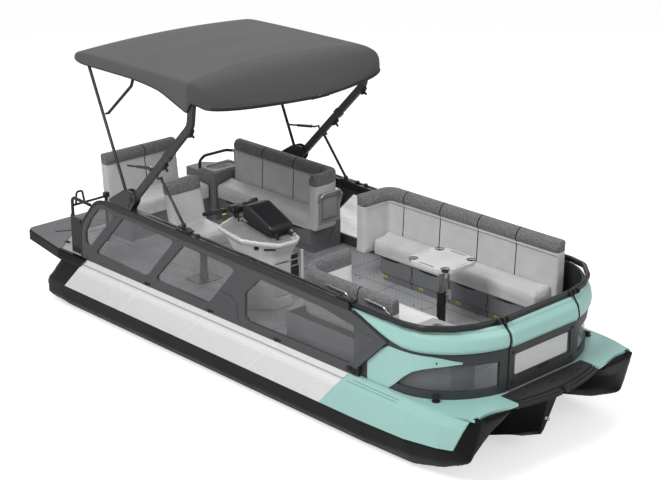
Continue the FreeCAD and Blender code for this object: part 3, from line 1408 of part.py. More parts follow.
def main():
    os.makedirs("parts", exist_ok=True)
    save("outer_hulls", both_sides(outer_hull()))
    save("centre_hull", centre_hull())
    save("side_panels", both_sides(side_panel()))
    save("bow_caps", both_sides(bow_cap()))
    save("deck", deck())
    save("bow_platform", bow_platform())
    save("swim_platform", swim_platform())
    save("stern_caps", both_sides(stern_cap()))
    save("side_fences", both_sides(fence()))
    save("window_panes", Part.makeCompound([both_sides(fence_panes()), both_sides(bow_pane())]))
    save("side_rails", both_sides(side_rail()))
    port_fence = bow_fence()
    for leaf in gate_hinge_leaves():
        port_fence = port_fence.fuse(leaf)
    save("bow_fences", Part.makeCompound([port_fence, port_to_starboard(bow_fence())]))
    save("bow_bands", both_sides(bow_band()))
    save("bow_plates", both_sides(bow_plate()))
    save("bow_rails", both_sides(bow_rail()))
    save("gate_frame", gate_frame())
    save("gate_pane", gate_pane())
    save("gate_band", gate_band())
    save("stern_rails", Part.makeCompound([stern_rail(corner_top + clear), starboard_stern_rail()]))
    save("stern_bench_base", stern_base())
    save("stern_bench_cushion", stern_cushion())
    save("stern_bench_back", stern_back())
    save("corner_box", corner_box())
    save("corner_lid", corner_lid())
    save("port_bench_base", port_base())
    rear = port_back - 6
    save("port_bench_cushion", side_cushion(bench_x0 + 2, bench_x1, port_front, rear, corner=bench_x1))
    save("port_bench_back", port_bench_back())
    save("lounge_base", lounge_base())
    mid = (lounge_x0 + lounge_x1) / 2 - 30
    start = lounge_x0 + 1
    save("lounge_cushion_aft", side_cushion(start, mid - 3, port_front, rear, corner=start))
    save("lounge_cushion_fwd", side_cushion(mid + 3, lounge_x1, port_front, rear))
    save("lounge_back", lounge_back())
    save("bow_seat_base", bow_seat_base())
    save("bow_seat_cushion", bow_seat_cushion())
    save("bow_seat_corner", bow_seat_corner())
    save("bow_seat_back", bow_seat_back())
    save("bow_tray_base", bow_tray_base())
    save("bow_tray", bow_tray())
    save("chair_pedestal", chair_pedestal())
    save("chair", chair())
    save("console", console())
    save("console_door", console_door())
    save("console_hood", console_hood())
    save("handlebar", handlebar())
    save("table_top", table_top())
    save("table_post", table_post())
    save("engine", engine())
    save("jet_pump", jet_pump())
    save("impeller", impeller())
    save("jet_nozzle", jet_nozzle())
    save("bimini_brackets", bimini_brackets())
    save("bimini_arch", arch())
    save("bimini_rear_bow", rear_bow())
    save("bimini_mid_bow", mid_bow())
    save("bimini_struts", struts())
    save("bimini_links", links())
    save("canopy", canopy())


main()
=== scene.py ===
import bpy
import bmesh
import math
from mathutils import Matrix, Vector


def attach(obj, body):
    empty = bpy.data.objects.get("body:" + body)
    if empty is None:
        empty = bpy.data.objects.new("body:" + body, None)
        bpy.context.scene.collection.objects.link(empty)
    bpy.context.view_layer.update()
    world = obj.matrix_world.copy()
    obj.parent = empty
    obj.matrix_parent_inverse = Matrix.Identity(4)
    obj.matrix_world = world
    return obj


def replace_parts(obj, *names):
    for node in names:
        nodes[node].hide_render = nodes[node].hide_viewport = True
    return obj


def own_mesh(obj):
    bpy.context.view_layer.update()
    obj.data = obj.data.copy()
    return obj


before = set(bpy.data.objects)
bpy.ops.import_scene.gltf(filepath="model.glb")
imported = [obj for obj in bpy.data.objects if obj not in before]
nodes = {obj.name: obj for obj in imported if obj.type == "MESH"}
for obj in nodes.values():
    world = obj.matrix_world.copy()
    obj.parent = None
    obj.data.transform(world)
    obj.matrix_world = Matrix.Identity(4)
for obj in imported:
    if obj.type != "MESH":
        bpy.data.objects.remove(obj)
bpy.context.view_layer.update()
collection = bpy.context.scene.collection
print("frame loaded")


# Stations in millimetres from the stern, as the boat is drawn, turned into metres in the shared frame.

def at(x, y, z):
    return Vector(((x - 3200) / 1000, y / 1000, z / 1000))


# Colours are written as sRGB hex and used as linear values.

def linear(text, gain=1.0):
    parts = [int(text[i:i + 2], 16) / 255 for i in (0, 2, 4)]
    return [min(1, gain * (p / 12.92 if p <= 0.04045 else ((p + 0.055) / 1.055) ** 2.4)) for p in parts] + [1]


def addNode(tree, kind, settings=None, links=None):
    node = tree.nodes.new(kind)
    for key, value in (settings or {}).items():
        if isinstance(key, int) or key in node.inputs:
            node.inputs[key].default_value = value
        else:
            setattr(node, key, value)
    for key, source in (links or {}).items():
        tree.links.new(source, node.inputs[key])
    return node


# A surface is a material with its shader, its object coordinates and, for a moulded part, the rounded edge
# that catches the light.
def newSurface(name, settings, edgeMm=0):
    material = bpy.data.materials.new(name)
    material.use_nodes = True
    tree = material.node_tree
    shader = tree.nodes["Principled BSDF"]
    for key, value in settings.items():
        shader.inputs[key].default_value = value
    surface = {"material": material, "tree": tree, "shader": shader, "edge": None,
               "place": addNode(tree, "ShaderNodeTexCoord").outputs["Object"]}
    if edgeMm:
        edge = addNode(tree, "ShaderNodeBevel", {"samples": 4, "Radius": edgeMm / 1000})
        surface["edge"] = edge.outputs["Normal"]
        tree.links.new(surface["edge"], shader.inputs["Normal"])
    return surface


def link(surface, socket, name):
    surface["tree"].links.new(socket, surface["shader"].inputs[name])


def bump(surface, height, strength, distanceMm):
    links = {"Height": height}
    if surface["edge"]:
        links["Normal"] = surface["edge"]
    node = addNode(surface["tree"], "ShaderNodeBump", {"Strength": strength, "Distance": distanceMm / 1000}, links)
    surface["edge"] = node.outputs["Normal"]
    link(surface, node.outputs["Normal"], "Normal")


def noise(surface, sizeMm, detail=3.0):
    return addNode(surface["tree"], "ShaderNodeTexNoise", {"Scale": 1000 / sizeMm, "Detail": detail},
                   {"Vector": surface["place"]}).outputs["Fac"]


def maths(surface, operation, first, second, clamp=False):
    settings, links = {"operation": operation, "use_clamp": clamp}, {}
    for key, value in ((0, first), (1, second)):
        if isinstance(value, (int, float)):
            settings[key] = value
        else:
            links[key] = value
    return addNode(surface["tree"], "ShaderNodeMath", settings, links).outputs[0]


def blendColour(surface, factor, low, high):
    settings, links = {"data_type": "RGBA"}, {"Factor": factor}
    mix = addNode(surface["tree"], "ShaderNodeMix", settings, links)
    for key, value in ((6, low), (7, high)):
        if isinstance(value, list):
            mix.inputs[key].default_value = value
        else:
            surface["tree"].links.new(value, mix.inputs[key])
    return mix.outputs[2]


def spread(surface, factor, low, high, fromLow=0.3, fromHigh=0.7):
    return addNode(surface["tree"], "ShaderNodeMapRange",
                   {"From Min": fromLow, "From Max": fromHigh, "To Min": low, "To Max": high},
                   {"Value": factor}).outputs["Result"]


# The place's distance along a direction.
def field(surface, direction):
    return addNode(surface["tree"], "ShaderNodeVectorMath", {"operation": "DOT_PRODUCT", 1: direction},
                   {0: surface["place"]}).outputs["Value"]


# One on a line across the surface and none a line's width away.
def stripe(surface, direction, places, widthMm):
    along, total = field(surface, direction), None
    for place in places:
        gap = maths(surface, "ABSOLUTE", maths(surface, "SUBTRACT", along, place), 0)
        one = spread(surface, gap, 1.0, 0.0, widthMm / 2500, widthMm / 1250)
        total = one if total is None else maths(surface, "ADD", total, one, True)
    return total


def facingUp(surface, low=0.6, high=0.8):
    normal = addNode(surface["tree"], "ShaderNodeNewGeometry").outputs["Normal"]
    up = addNode(surface["tree"], "ShaderNodeSeparateXYZ", {}, {"Vector": normal}).outputs["Z"]
    return spread(surface, up, 0.0, 1.0, low, high)


# Rotationally moulded polyethylene: a dull skin with a faint pebble, scuffed paler in soft patches.
def mouldedPolyethylene(name, colour, grainMm=5.0, rough=0.45, edgeMm=4):
    surface = newSurface(name, {"Roughness": rough, "IOR": 1.5}, edgeMm)
    cloud, scuff = noise(surface, 380, 5.0), noise(surface, 28, 6.0)
    base = blendColour(surface, spread(surface, cloud, 0, 1), linear(colour, 0.88), linear(colour, 1.1))
    scuffed = spread(surface, scuff, 0, 0.2, 0.5, 0.85)
    link(surface, blendColour(surface, scuffed, base, linear(colour, 1.4)), "Base Color")
    link(surface, spread(surface, cloud, rough - 0.07, rough + 0.09), "Roughness")
    bump(surface, noise(surface, grainMm, 2.0), 0.18, 0.5)
    return surface


# Thermoformed glossy skin: almost flat, a slow ripple that bends the reflections, faint cloudy dust.
def glossSkin(name, colour, rough=0.26):
    surface = newSurface(name, {"Roughness": rough, "IOR": 1.49, "Coat Weight": 0.3, "Coat Roughness": 0.1}, 4)
    dust = noise(surface, 320, 4.0)
    mixed = blendColour(surface, spread(surface, dust, 0, 1), linear(colour, 0.985), linear(colour, 1.005))
    link(surface, mixed, "Base Color")
    link(surface, spread(surface, dust, rough - 0.03, rough + 0.06), "Roughness")
    bump(surface, noise(surface, 300, 1.0), 0.08, 2.0)
    return surface


# Powder coat on tube: black, a fine orange peel, edges worn a little shinier.
def powderCoat(name, colour, rough=0.38):
    surface = newSurface(name, {"Roughness": rough, "IOR": 1.5}, 2)
    wear = noise(surface, 45, 5.0)
    mixed = blendColour(surface, spread(surface, wear, 0, 1), linear(colour, 0.85), linear(colour, 1.25))
    link(surface, mixed, "Base Color")
    link(surface, spread(surface, wear, rough - 0.08, rough + 0.08), "Roughness")
    bump(surface, noise(surface, 2.5, 1.0), 0.12, 0.25)
    return surface


# Marine vinyl: pressed leather grain, drawn at 3 mm because the real 1 mm grain is finer than the picture,
# a soft sheen, and paler rubbed patches.
def marineVinyl(name, colour, rough=0.42):
    surface = newSurface(name, {"Roughness": rough, "IOR": 1.47, "Sheen Weight": 0.15, "Sheen Roughness": 0.4})
    grain = addNode(surface["tree"], "ShaderNodeTexVoronoi", {"Scale": 320.0, "Randomness": 1.0},
                    {"Vector": surface["place"]}).outputs["Distance"]
    rub = noise(surface, 160, 4.0)
    mixed = blendColour(surface, spread(surface, rub, 0, 1), linear(colour, 0.94), linear(colour, 1.05))
    link(surface, mixed, "Base Color")
    link(surface, spread(surface, rub, rough - 0.06, rough + 0.08), "Roughness")
    bump(surface, grain, 0.12, 0.4)
    bump(surface, noise(surface, 70, 2.0), 0.25, 2.0)
    return surface


# Heathered woven cover: pale and dark yarns crossed at 4 mm, coarser than the cloth so that they show.
def heatheredWeave(name, colour, pale):
    surface = newSurface(name, {"Roughness": 0.85, "Sheen Weight": 0.15, "Sheen Roughness": 0.5})
    crossed = addNode(surface["tree"], "ShaderNodeTexVoronoi", {"Scale": 230.0, "Randomness": 0.7},
                      {"Vector": surface["place"]}).outputs["Color"]
    yarn = addNode(surface["tree"], "ShaderNodeSeparateXYZ", {}, {"Vector": crossed}).outputs["X"]
    cloud = noise(surface, 12, 4.0)
    mixed = maths(surface, "MULTIPLY", yarn, cloud)
    yarns = spread(surface, mixed, 0, 1, 0.15, 0.5)
    link(surface, blendColour(surface, yarns, linear(colour), linear(pale)), "Base Color")
    bump(surface, yarn, 0.35, 0.5)
    return surface


# Solution-dyed acrylic canvas: plain weave ribs at 6 mm, drawn coarse, and slow cloudy fading from the sun.
def acrylicCanvas(name, colour):
    surface = newSurface(name, {"Roughness": 0.88, "Sheen Weight": 0.1, "Sheen Roughness": 0.6})
    warp = addNode(surface["tree"], "ShaderNodeTexWave", {"Scale": 55.0, "Distortion": 0.6, "bands_direction": "X"},
                   {"Vector": surface["place"]}).outputs["Fac"]
    weft = addNode(surface["tree"], "ShaderNodeTexWave", {"Scale": 55.0, "Distortion": 0.6, "bands_direction": "Y"},
                   {"Vector": surface["place"]}).outputs["Fac"]
    weave = maths(surface, "MAXIMUM", warp, weft)
    fade = noise(surface, 420, 4.0)
    fine = noise(surface, 7, 3.0)
    base = blendColour(surface, spread(surface, fade, 0, 1), linear(colour, 0.93), linear(colour, 1.06))
    link(surface, blendColour(surface, spread(surface, fine, 0, 0.5), base, linear(colour, 1.2)), "Base Color")
    bump(surface, weave, 0.15, 0.5)
    bump(surface, noise(surface, 300, 2.0), 0.3, 6.0)
    return surface


# The darker canvas across the front is sewn on along a curve that bows aft in the middle, with a doubled seam.
def frontPanel(surface, colour):
    parts = addNode(surface["tree"], "ShaderNodeSeparateXYZ", {}, {"Vector": surface["place"]})
    curve = maths(surface, "MULTIPLY", maths(surface, "MULTIPLY", parts.outputs["Y"], parts.outputs["Y"]), 0.15)
    ahead = maths(surface, "SUBTRACT", maths(surface, "ADD", parts.outputs["X"], 0.49), curve)
    base = surface["shader"].inputs["Base Color"].links[0].from_socket
    base = blendColour(surface, spread(surface, ahead, 0, 1, -0.004, 0.004), base, linear(colour))
    gap = maths(surface, "ABSOLUTE", maths(surface, "SUBTRACT", maths(surface, "ABSOLUTE", ahead, 0), 0.012), 0)
    seam = spread(surface, gap, 1.0, 0.0, 0.002, 0.006)
    link(surface, blendColour(surface, maths(surface, "MULTIPLY", seam, 0.35), base, linear("2c2d2e")), "Base Color")
    bump(surface, maths(surface, "SUBTRACT", 1.0, seam), 0.5, 1.5)


# Brushed or cast metal: fine streaks drawn long one way, which stretch the highlights.
def metal(name, colour, rough, streak=(6, 60, 60)):
    surface = newSurface(name, {"Metallic": 1.0, "Roughness": rough}, 1.5)
    turned = addNode(surface["tree"], "ShaderNodeMapping", {"Scale": streak}, {"Vector": surface["place"]})
    line = addNode(surface["tree"], "ShaderNodeTexNoise", {"Scale": 8.0, "Detail": 4.0},
                   {"Vector": turned.outputs["Vector"]}).outputs["Fac"]
    mixed = blendColour(surface, spread(surface, line, 0, 1), linear(colour, 0.85), linear(colour, 1.1))
    link(surface, mixed, "Base Color")
    link(surface, spread(surface, line, rough - 0.08, rough + 0.1), "Roughness")
    bump(surface, line, 0.08, 0.3)
    return surface


# Smoked polycarbonate: the floor shows through a pale grey film, with faint wiping streaks.
def smokedPane(name, colour, clear, rough=0.08):
    surface = newSurface(name, {"Roughness": rough, "IOR": 1.58, "Base Color": linear(colour)})
    turned = addNode(surface["tree"], "ShaderNodeMapping", {"Rotation": (0, 0.7, 0), "Scale": (1.2, 1.2, 5.0)},
                     {"Vector": surface["place"]})
    smear = addNode(surface["tree"], "ShaderNodeTexNoise", {"Scale": 1.6, "Detail": 3.0},
                    {"Vector": turned.outputs["Vector"]}).outputs["Fac"]
    link(surface, spread(surface, smear, clear - 0.09, clear + 0.09), "Alpha")
    link(surface, spread(surface, smear, rough, rough + 0.1), "Roughness")
    return surface


surfaces = {
    "hull": mouldedPolyethylene("blackRotomouldedPolyethylene", "070808", 6.0, 0.3, 0),
    "fence": mouldedPolyethylene("fenceInjectedPolypropylene", "48494b", 4.0, 0.44),
    "bowFence": mouldedPolyethylene("bowFenceDarkPolypropylene", "363739", 4.0, 0.42),
    "base": mouldedPolyethylene("seatBaseRotomouldedPolyethylene", "7b7c7f", 4.0, 0.42, 8),
    "platform": mouldedPolyethylene("bowStepGlassFilledNylon", "303032", 3.0, 0.5),
    "trim": mouldedPolyethylene("blackEdgeRubber", "161718", 3.0, 0.5, 2),
    "lightPlastic": mouldedPolyethylene("greyMouldedAcrylonitrile", "a3a3a4", 3.0, 0.36),
    "table": mouldedPolyethylene("tableMouldedPolymer", "d2d2d1", 3.0, 0.34, 6),
    "white": glossSkin("whiteThermoformedSkin", "e4e4e4"),
    "teal": glossSkin("aquaThermoformedSkin", "a3d0c9", 0.3),
    # darker teal for the bow caps' step lines: painted shade in the grooves
    "tealGrooveShade": glossSkin("aquaPaintedGrooveShade", "6f9c95", 0.35),
    "gelcoat": glossSkin("consoleGelcoat", "d5d4d2", 0.22),
    "hood": mouldedPolyethylene("hoodSatinPolymer", "222325", 4.0, 0.34, 12),
    "coat": powderCoat("blackPowderCoatedTube", "202122"),
    "arm": powderCoat("greyPowderCoatedArm", "37383a", 0.42),
    "vinyl": marineVinyl("lightMarineVinyl", "cfcfcf"),
    "vinylWhite": marineVinyl("whiteMarineVinyl", "ebebeb"),
    "heather": heatheredWeave("heatheredSeatWeave", "5c5d5f", "8f9092"),
    "canvas": acrylicCanvas("acrylicCanvas", "4d4d4e"),
    "alloy": metal("brushedAluminium", "b9babc", 0.36),
    "chrome": metal("polishedStainlessTube", "cfd0d2", 0.2, (3, 30, 30)),
    "castSteel": metal("castStainlessPump", "8d8e90", 0.45, (20, 20, 20)),
    "pane": smokedPane("smokedPolycarbonate", "77787a", 0.27),
    "gatePane": smokedPane("frostedPolycarbonate", "dedfe0", 0.85, 0.25),
    # The dark look is black for real fittings such as bolts and screws, and painted shade where it lines seams,
    # grips, slots and grooves.
    "seam": mouldedPolyethylene("blackFittingsAndPaintedShade", "1d1e1f", 3.0, 0.8, 0),
    "yellow": mouldedPolyethylene("yellowNylonTag", "e6e01a", 3.0, 0.45, 1),
    "mesh": mouldedPolyethylene("blackWovenMesh", "242526", 3.0, 0.7, 0),
}


frontPanel(surfaces["canvas"], "404142")

# The white side skins carry three slanted joints painted paler, a painted highlight along each, and along the fold a
# darker line, painted shade in the crease.
skin = surfaces["white"]
jointHighlight = stripe(skin, (1.0, 0.0, -1.03), (-1.712, -0.775, 0.177), 7)
base = skin["shader"].inputs["Base Color"].links[0].from_socket
base = blendColour(skin, maths(skin, "MULTIPLY", jointHighlight, 0.9), base, linear("fafafa"))
creaseLineAndShade = stripe(skin, (0.0, 0.0, 1.0), (0.606,), 10)
# a broad strip below the fold is painted paler: a painted highlight on the fold
band = stripe(skin, (0.0, 0.0, 1.0), (0.548,), 52)
base = blendColour(skin, maths(skin, "MULTIPLY", band, 0.6), base, linear("f4f4f4"))
link(skin, blendColour(skin, maths(skin, "MULTIPLY", creaseLineAndShade, 0.75), base, linear("8f9090")), "Base Color")
bump(skin, maths(skin, "SUBTRACT", 1.0, creaseLineAndShade), 0.6, 3.0)

# The floor panels: butted tiles, a raised diamond tread drawn at 34 mm, its raised bars paler than the ground between
# them.
deck = surfaces["deck"] = mouldedPolyethylene("deckTilePolyethylene", "a8a9ab", 5.0, 0.5)
tiles = addNode(deck["tree"], "ShaderNodeTexBrick",
                {"offset": 0.0, "Scale": 1.0, "Mortar Size": 0.0035, "Mortar Smooth": 0.2, "Brick Width": 0.62,
                 "Row Height": 0.55, "Color1": (1, 1, 1, 1), "Color2": (1, 1, 1, 1), "Mortar": (0, 0, 0, 1)},
                {"Vector": deck["place"]}).outputs["Color"]
tread = None
for turn in (0.7854, -0.7854):
    spun = addNode(deck["tree"], "ShaderNodeMapping", {"Rotation": (0, 0, turn)}, {"Vector": deck["place"]})
    bars = addNode(deck["tree"], "ShaderNodeTexWave", {"Scale": 9.2, "bands_direction": "X"},
                   {"Vector": spun.outputs["Vector"]}).outputs["Fac"]
    raised = spread(deck, bars, 0.0, 1.0, 0.6, 0.95)
    tread = raised if tread is None else maths(deck, "MAXIMUM", tread, raised)
base = deck["shader"].inputs["Base Color"].links[0].from_socket
base = blendColour(deck, maths(deck, "MULTIPLY", tread, 0.6), base, linear("b9babc"))
link(deck, blendColour(deck, tiles, linear("333436"), base), "Base Color")
bump(deck, tread, 0.8, 2.5)
deck["shader"].inputs["Specular IOR Level"].default_value = 0.35

# The swim step is a grey tread on top and black at its rounded edge and underneath.
swim = surfaces["swim"] = mouldedPolyethylene("swimStepPolyethylene", "1a1b1c", 4.0, 0.5)
top = maths(swim, "MULTIPLY", facingUp(swim, 0.93, 0.99), spread(swim, field(swim, (0, 0, 1)), 0, 1, 0.655, 0.66))
base = swim["shader"].inputs["Base Color"].links[0].from_socket
link(swim, blendColour(swim, top, base, linear("717274")), "Base Color")

# The console's sunken deck is a darker grey than its white rim, told apart by its depth under the rim's plane.
console = surfaces["console"] = glossSkin("consoleTwoToneGelcoat", "dbdad8", 0.24)
depth = field(console, (0.133, 0.0, 1.0))
sunk = maths(console, "MULTIPLY", spread(console, depth, 1.0, 0.0, 1.3835, 1.3855), facingUp(console, 0.9, 0.97))
base = console["shader"].inputs["Base Color"].links[0].from_socket
link(console, blendColour(console, sunk, base, linear("9c9c9d")), "Base Color")

# The teal bands are folded near the top and bottom: a soft bump along each fold, with painted shade as a darker teal
# line on it.
band = surfaces["band"] = glossSkin("aquaFoldedBand", "a3d0c9", 0.3)
fold = stripe(band, (0.0, 0.0, 1.0), (1.243, 1.089), 9)
bump(band, maths(band, "SUBTRACT", 1.0, fold), 0.7, 3.0)
# below the lower fold the band is painted near-black: painted shade under its rolled-in lower edge
foot = spread(band, field(band, (0.0, 0.0, 1.0)), 1.0, 0.0, 1.078, 1.082)
base = band["shader"].inputs["Base Color"].links[0].from_socket
base = blendColour(band, maths(band, "MULTIPLY", fold, 0.45), base, linear("7fb0a9"))
link(band, blendColour(band, foot, base, linear("2a2b2c")), "Base Color")
materials = {key: surface["material"] for key, surface in surfaces.items()}

nodeLooks = {
    "hull": ["outer_hulls", "centre_hull", "stern_caps"],
    "fence": ["side_fences"],
    "bowFence": ["bow_fences", "gate_frame"],
    "platform": ["bow_platform"],
    "swim": ["swim_platform"],
    "base": ["stern_bench_base", "port_bench_base", "lounge_base", "bow_seat_base", "bow_tray_base",
             "corner_box"],
    "lightPlastic": ["corner_lid", "bow_tray"],
    "table": ["table_top"],
    "white": ["side_panels"],
    "teal": ["bow_caps", "bow_plates"],
    "band": ["bow_bands", "gate_band"],
    "deck": ["deck"],
    "coat": ["side_rails", "bow_rails", "stern_rails", "bimini_rear_bow", "bimini_mid_bow", "handlebar"],
    "arm": ["bimini_arch", "bimini_brackets", "bimini_struts", "bimini_links", "chair_pedestal"],
    "hood": ["console_hood"],
    "console": ["console"],
    "gelcoat": ["console_door"],
    "alloy": ["table_post"],
    "castSteel": ["jet_pump", "impeller", "jet_nozzle", "engine"],
    "pane": ["window_panes"],
    "gatePane": ["gate_pane"],
    "vinyl": ["stern_bench_cushion", "stern_bench_back", "port_bench_cushion", "port_bench_back",
              "lounge_cushion_aft", "lounge_cushion_fwd", "lounge_back", "bow_seat_corner", "chair"],
    "vinylWhite": ["bow_seat_cushion", "bow_seat_back"],
    "canvas": ["canopy"],
}
for look, names in nodeLooks.items():
    for name in names:
        nodes[name].data.materials.clear()
        nodes[name].data.materials.append(materials[look])
surfaces["hull"]["shader"].inputs["Specular IOR Level"].default_value = 0.18
surfaces["swim"]["shader"].inputs["Specular IOR Level"].default_value = 0.3

# The canopy's poles are a little stouter in the picture than drawn, so their skins stand 3 mm proud.
for name in ("bimini_rear_bow", "bimini_mid_bow", "bimini_struts"):
    weld = nodes[name].modifiers.new("weld", "WELD")
    weld.merge_threshold = 0.00002
    proud = nodes[name].modifiers.new("proud", "DISPLACE")
    proud.mid_level = 0.0
    proud.strength = 0.003
print("surfaces made")


# Tools for new pieces

def newPiece(name, bm, looks, body, sharp=38):
    bmesh.ops.remove_doubles(bm, verts=bm.verts, dist=1e-6)
    bmesh.ops.recalc_face_normals(bm, faces=bm.faces)
    mesh = bpy.data.meshes.new(name)
    bm.to_mesh(mesh)
    bm.free()
    for look in looks:
        mesh.materials.append(materials[look])
    mesh.shade_smooth()
    mesh.set_sharp_from_angle(angle=math.radians(sharp))
    piece = bpy.data.objects.new(name, mesh)
    collection.objects.link(piece)
    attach(piece, body)
    return piece


# Faces made since a piece's mesh was last looked at take the look's number.
def painted(bm, before, look):
    for face in bm.faces:
        if face not in before:
            face.material_index = look


def block(bm, centre, size, round=3, look=0, turn=None):
    before = set(bm.faces)
    place = Matrix.Translation(at(*centre)) @ (turn or Matrix.Identity(4))
    place = place @ Matrix.Diagonal(Vector(size) / 1000).to_4x4()
    made = bmesh.ops.create_cube(bm, size=1.0, matrix=place)
    edges = list({edge for vert in made["verts"] for edge in vert.link_edges})
    bmesh.ops.bevel(bm, geom=edges, offset=min(round, min(size) * 0.45) / 1000, segments=2, profile=0.5,
                    affect="EDGES", material=-1)
    painted(bm, before, look)


def disc(bm, centre, radius, height, axis="z", round=2, look=0, sides=24, radiusTop=None):
    before = set(bm.faces)
    turn = {"z": Matrix.Identity(4), "x": Matrix.Rotation(math.pi / 2, 4, "Y"),
            "y": Matrix.Rotation(-math.pi / 2, 4, "X")}[axis]
    made = bmesh.ops.create_cone(bm, cap_ends=True, segments=sides, radius1=radius / 1000,
                                 radius2=(radius if radiusTop is None else radiusTop) / 1000, depth=height / 1000,
                                 matrix=Matrix.Translation(at(*centre)) @ turn)
    rims = [edge for edge in {e for v in made["verts"] for e in v.link_edges}
            if len(edge.link_faces) == 2 and any(len(f.verts) == sides for f in edge.link_faces)]
    if round:
        bmesh.ops.bevel(bm, geom=rims, offset=min(round, radius * 0.4, height * 0.4) / 1000, segments=2, profile=0.5,
                        affect="EDGES", material=-1)
    painted(bm, before, look)


# A bent tube: straight legs and short bends, made from a curve.
def rod(bm, points, radius, look=0, bend=30, closed=False, sides=3):
    before = set(bm.faces)
    spots = [at(*p) for p in points]
    route = []
    count = len(spots)
    for i, spot in enumerate(spots):
        if not closed and i in (0, count - 1):
            route.append(spot)
            continue
        for other in (spots[i - 1], spots[(i + 1) % count]):
            leg = other - spot
            step = min(bend / 1000, leg.length * 0.45)
            if other is spots[i - 1]:
                route.append(spot + leg.normalized() * step)
                route.append(spot)
            else:
                route.append(spot + leg.normalized() * step)
    curve = bpy.data.curves.new("tube", "CURVE")
    curve.dimensions = "3D"
    curve.bevel_depth = radius / 1000
    curve.bevel_resolution = sides
    curve.resolution_u = 3
    curve.use_fill_caps = True
    spline = curve.splines.new("NURBS")
    spline.points.add(len(route) - 1)
    for point, spot in zip(spline.points, route):
        point.co = (*spot, 1)
    spline.order_u = 3
    if closed:
        spline.use_cyclic_u = True
    else:
        spline.use_endpoint_u = True
    holder = bpy.data.objects.new("tube", curve)
    mesh = bpy.data.meshes.new_from_object(holder)
    bm.from_mesh(mesh)
    bpy.data.objects.remove(holder)
    bpy.data.meshes.remove(mesh)
    painted(bm, before, look)


# A closed ring of thin tube, level or, for the towing eye, standing along the boat.
eighths = (0, 0.785, 1.571, 2.356, 3.142, 3.927, 4.712, 5.498)


def ring(bm, centre, radius, thickness, look=0, bend=8, narrow=1.0, upright=False):
    x, y, z = centre
    if upright:
        points = [(x + radius * math.cos(a), y, z + radius * math.sin(a)) for a in eighths]
    else:
        points = [(x + radius * narrow * math.cos(a), y + radius * math.sin(a), z) for a in eighths]
    rod(bm, points, thickness, look, bend, True, 2)


# A smooth value between stations, with slopes that never overshoot.
def between(stations, x, column):
    if x <= stations[0][0]:
        return stations[0][column]
    for i in range(len(stations) - 1):
        x0, x1 = stations[i][0], stations[i + 1][0]
        if x <= x1:
            v0, v1 = stations[i][column], stations[i + 1][column]
            step = (v1 - v0) / (x1 - x0)
            last = step if i == 0 else (v0 - stations[i - 1][column]) / (x0 - stations[i - 1][0])
            after = step if i == len(stations) - 2 else (stations[i + 2][column] - v1) / (stations[i + 2][0] - x1)
            slopeIn = 0 if last * step <= 0 else 2 * last * step / (last + step)
            slopeOut = 0 if after * step <= 0 else 2 * after * step / (after + step)
            t, w = (x - x0) / (x1 - x0), x1 - x0
            return ((2 * t ** 3 - 3 * t ** 2 + 1) * v0 + (t ** 3 - 2 * t ** 2 + t) * w * slopeIn
                    + (3 * t ** 2 - 2 * t ** 3) * v1 + (t ** 3 - t ** 2) * w * slopeOut)
    return stations[-1][column]


# Canopy: one sheet of canvas over its bows, taped at the hem. A station gives x, inset, crown, shoulder and hem.
canopy = {
    "half": 1121.5,
    "stations": [(1146, 34, 2806, 2772, 2712), (1240, 12, 2820, 2788, 2698), (1340, 4, 2828, 2792, 2690),
                 (2000, 0, 2838, 2797, 2692), (2433, 0, 2836, 2797, 2664), (2800, 0, 2832, 2796, 2552),
                 (2890, 0, 2828, 2794, 2526), (2950, 0, 2822, 2790, 2620), (3060, 6, 2802, 2766, 2612),
                 (3120, 34, 2784, 2738, 2590), (3190, 110, 2758, 2700, 2580), (3280, 300, 2712, 2650, 2574),
                 (3350, 540, 2668, 2618, 2572), (3405, 800, 2626, 2594, 2571), (3438, 1020, 2594, 2584, 2570)],
    "rows": [1146, 1160, 1185, 1215, 1250, 1300, 1360, 1440, 1540, 1660, 1800, 1950, 2100, 2250, 2380, 2480, 2570,
             2650, 2720, 2780, 2825, 2862, 2890, 2915, 2950, 2990, 3030, 3060, 3090, 3120, 3155, 3190, 3235, 3280,
             3315, 3350, 3378, 3405, 3424, 3438],
    "flat": (2.55, 2.62),
}


def canopySpot(x, share):
    inset, crown, shoulder, hem = (between(canopy["stations"], x, i) for i in (1, 2, 3, 4))
    half, side, s = canopy["half"] - inset, math.copysign(1, share), abs(share)
    inner = half - 62
    if s <= 0.8:
        y = inner * (s / 0.8)
        return (x, side * y, crown - (crown - shoulder) * (y / inner) ** 2)
    fall = max(1.0, shoulder + 4 - hem)
    turns = [(0.8, inner, shoulder)]
    for k in range(1, 6):
        a = k / 5 * math.pi / 2
        drop = min(62, fall * 0.6) * (1 - math.cos(a))
        turns.append((0.8 + 0.1 * k / 5, inner + 60 * math.sin(a), shoulder - drop))
    turns.append((1.0, half + 2, hem))
    for (s0, y0, z0), (s1, y1, z1) in zip(turns, turns[1:]):
        if s <= s1:
            t = (s - s0) / (s1 - s0)
            return (x, side * (y0 + (y1 - y0) * t), z0 + (z1 - z0) * t)
    return (x, side * turns[-1][1], turns[-1][2])


bm = bmesh.new()
rows, across, flapRows = canopy["rows"], 100, 4
grid = bmesh.ops.create_grid(bm, x_segments=len(rows) - 1 + flapRows, y_segments=across, size=1.0)
for vert in grid["verts"]:
    row = round((vert.co.x + 1) / 2 * (len(rows) - 1 + flapRows)) - flapRows
    share = max(-1.0, min(1.0, vert.co.y))
    if row >= 0:
        vert.co = at(*canopySpot(rows[row], share))
    else:
        # the rear edge turns down and in under the aft bow
        x, y, z = canopySpot(rows[0], share)
        low = max(0.0, z - (between(canopy["stations"], rows[0], 4) - 6))
        t = -row / flapRows
        vert.co = at(x - 4 + 144 * t ** 1.5, y, z - min(96, low) * t)
bmesh.ops.recalc_face_normals(bm, faces=bm.faces)
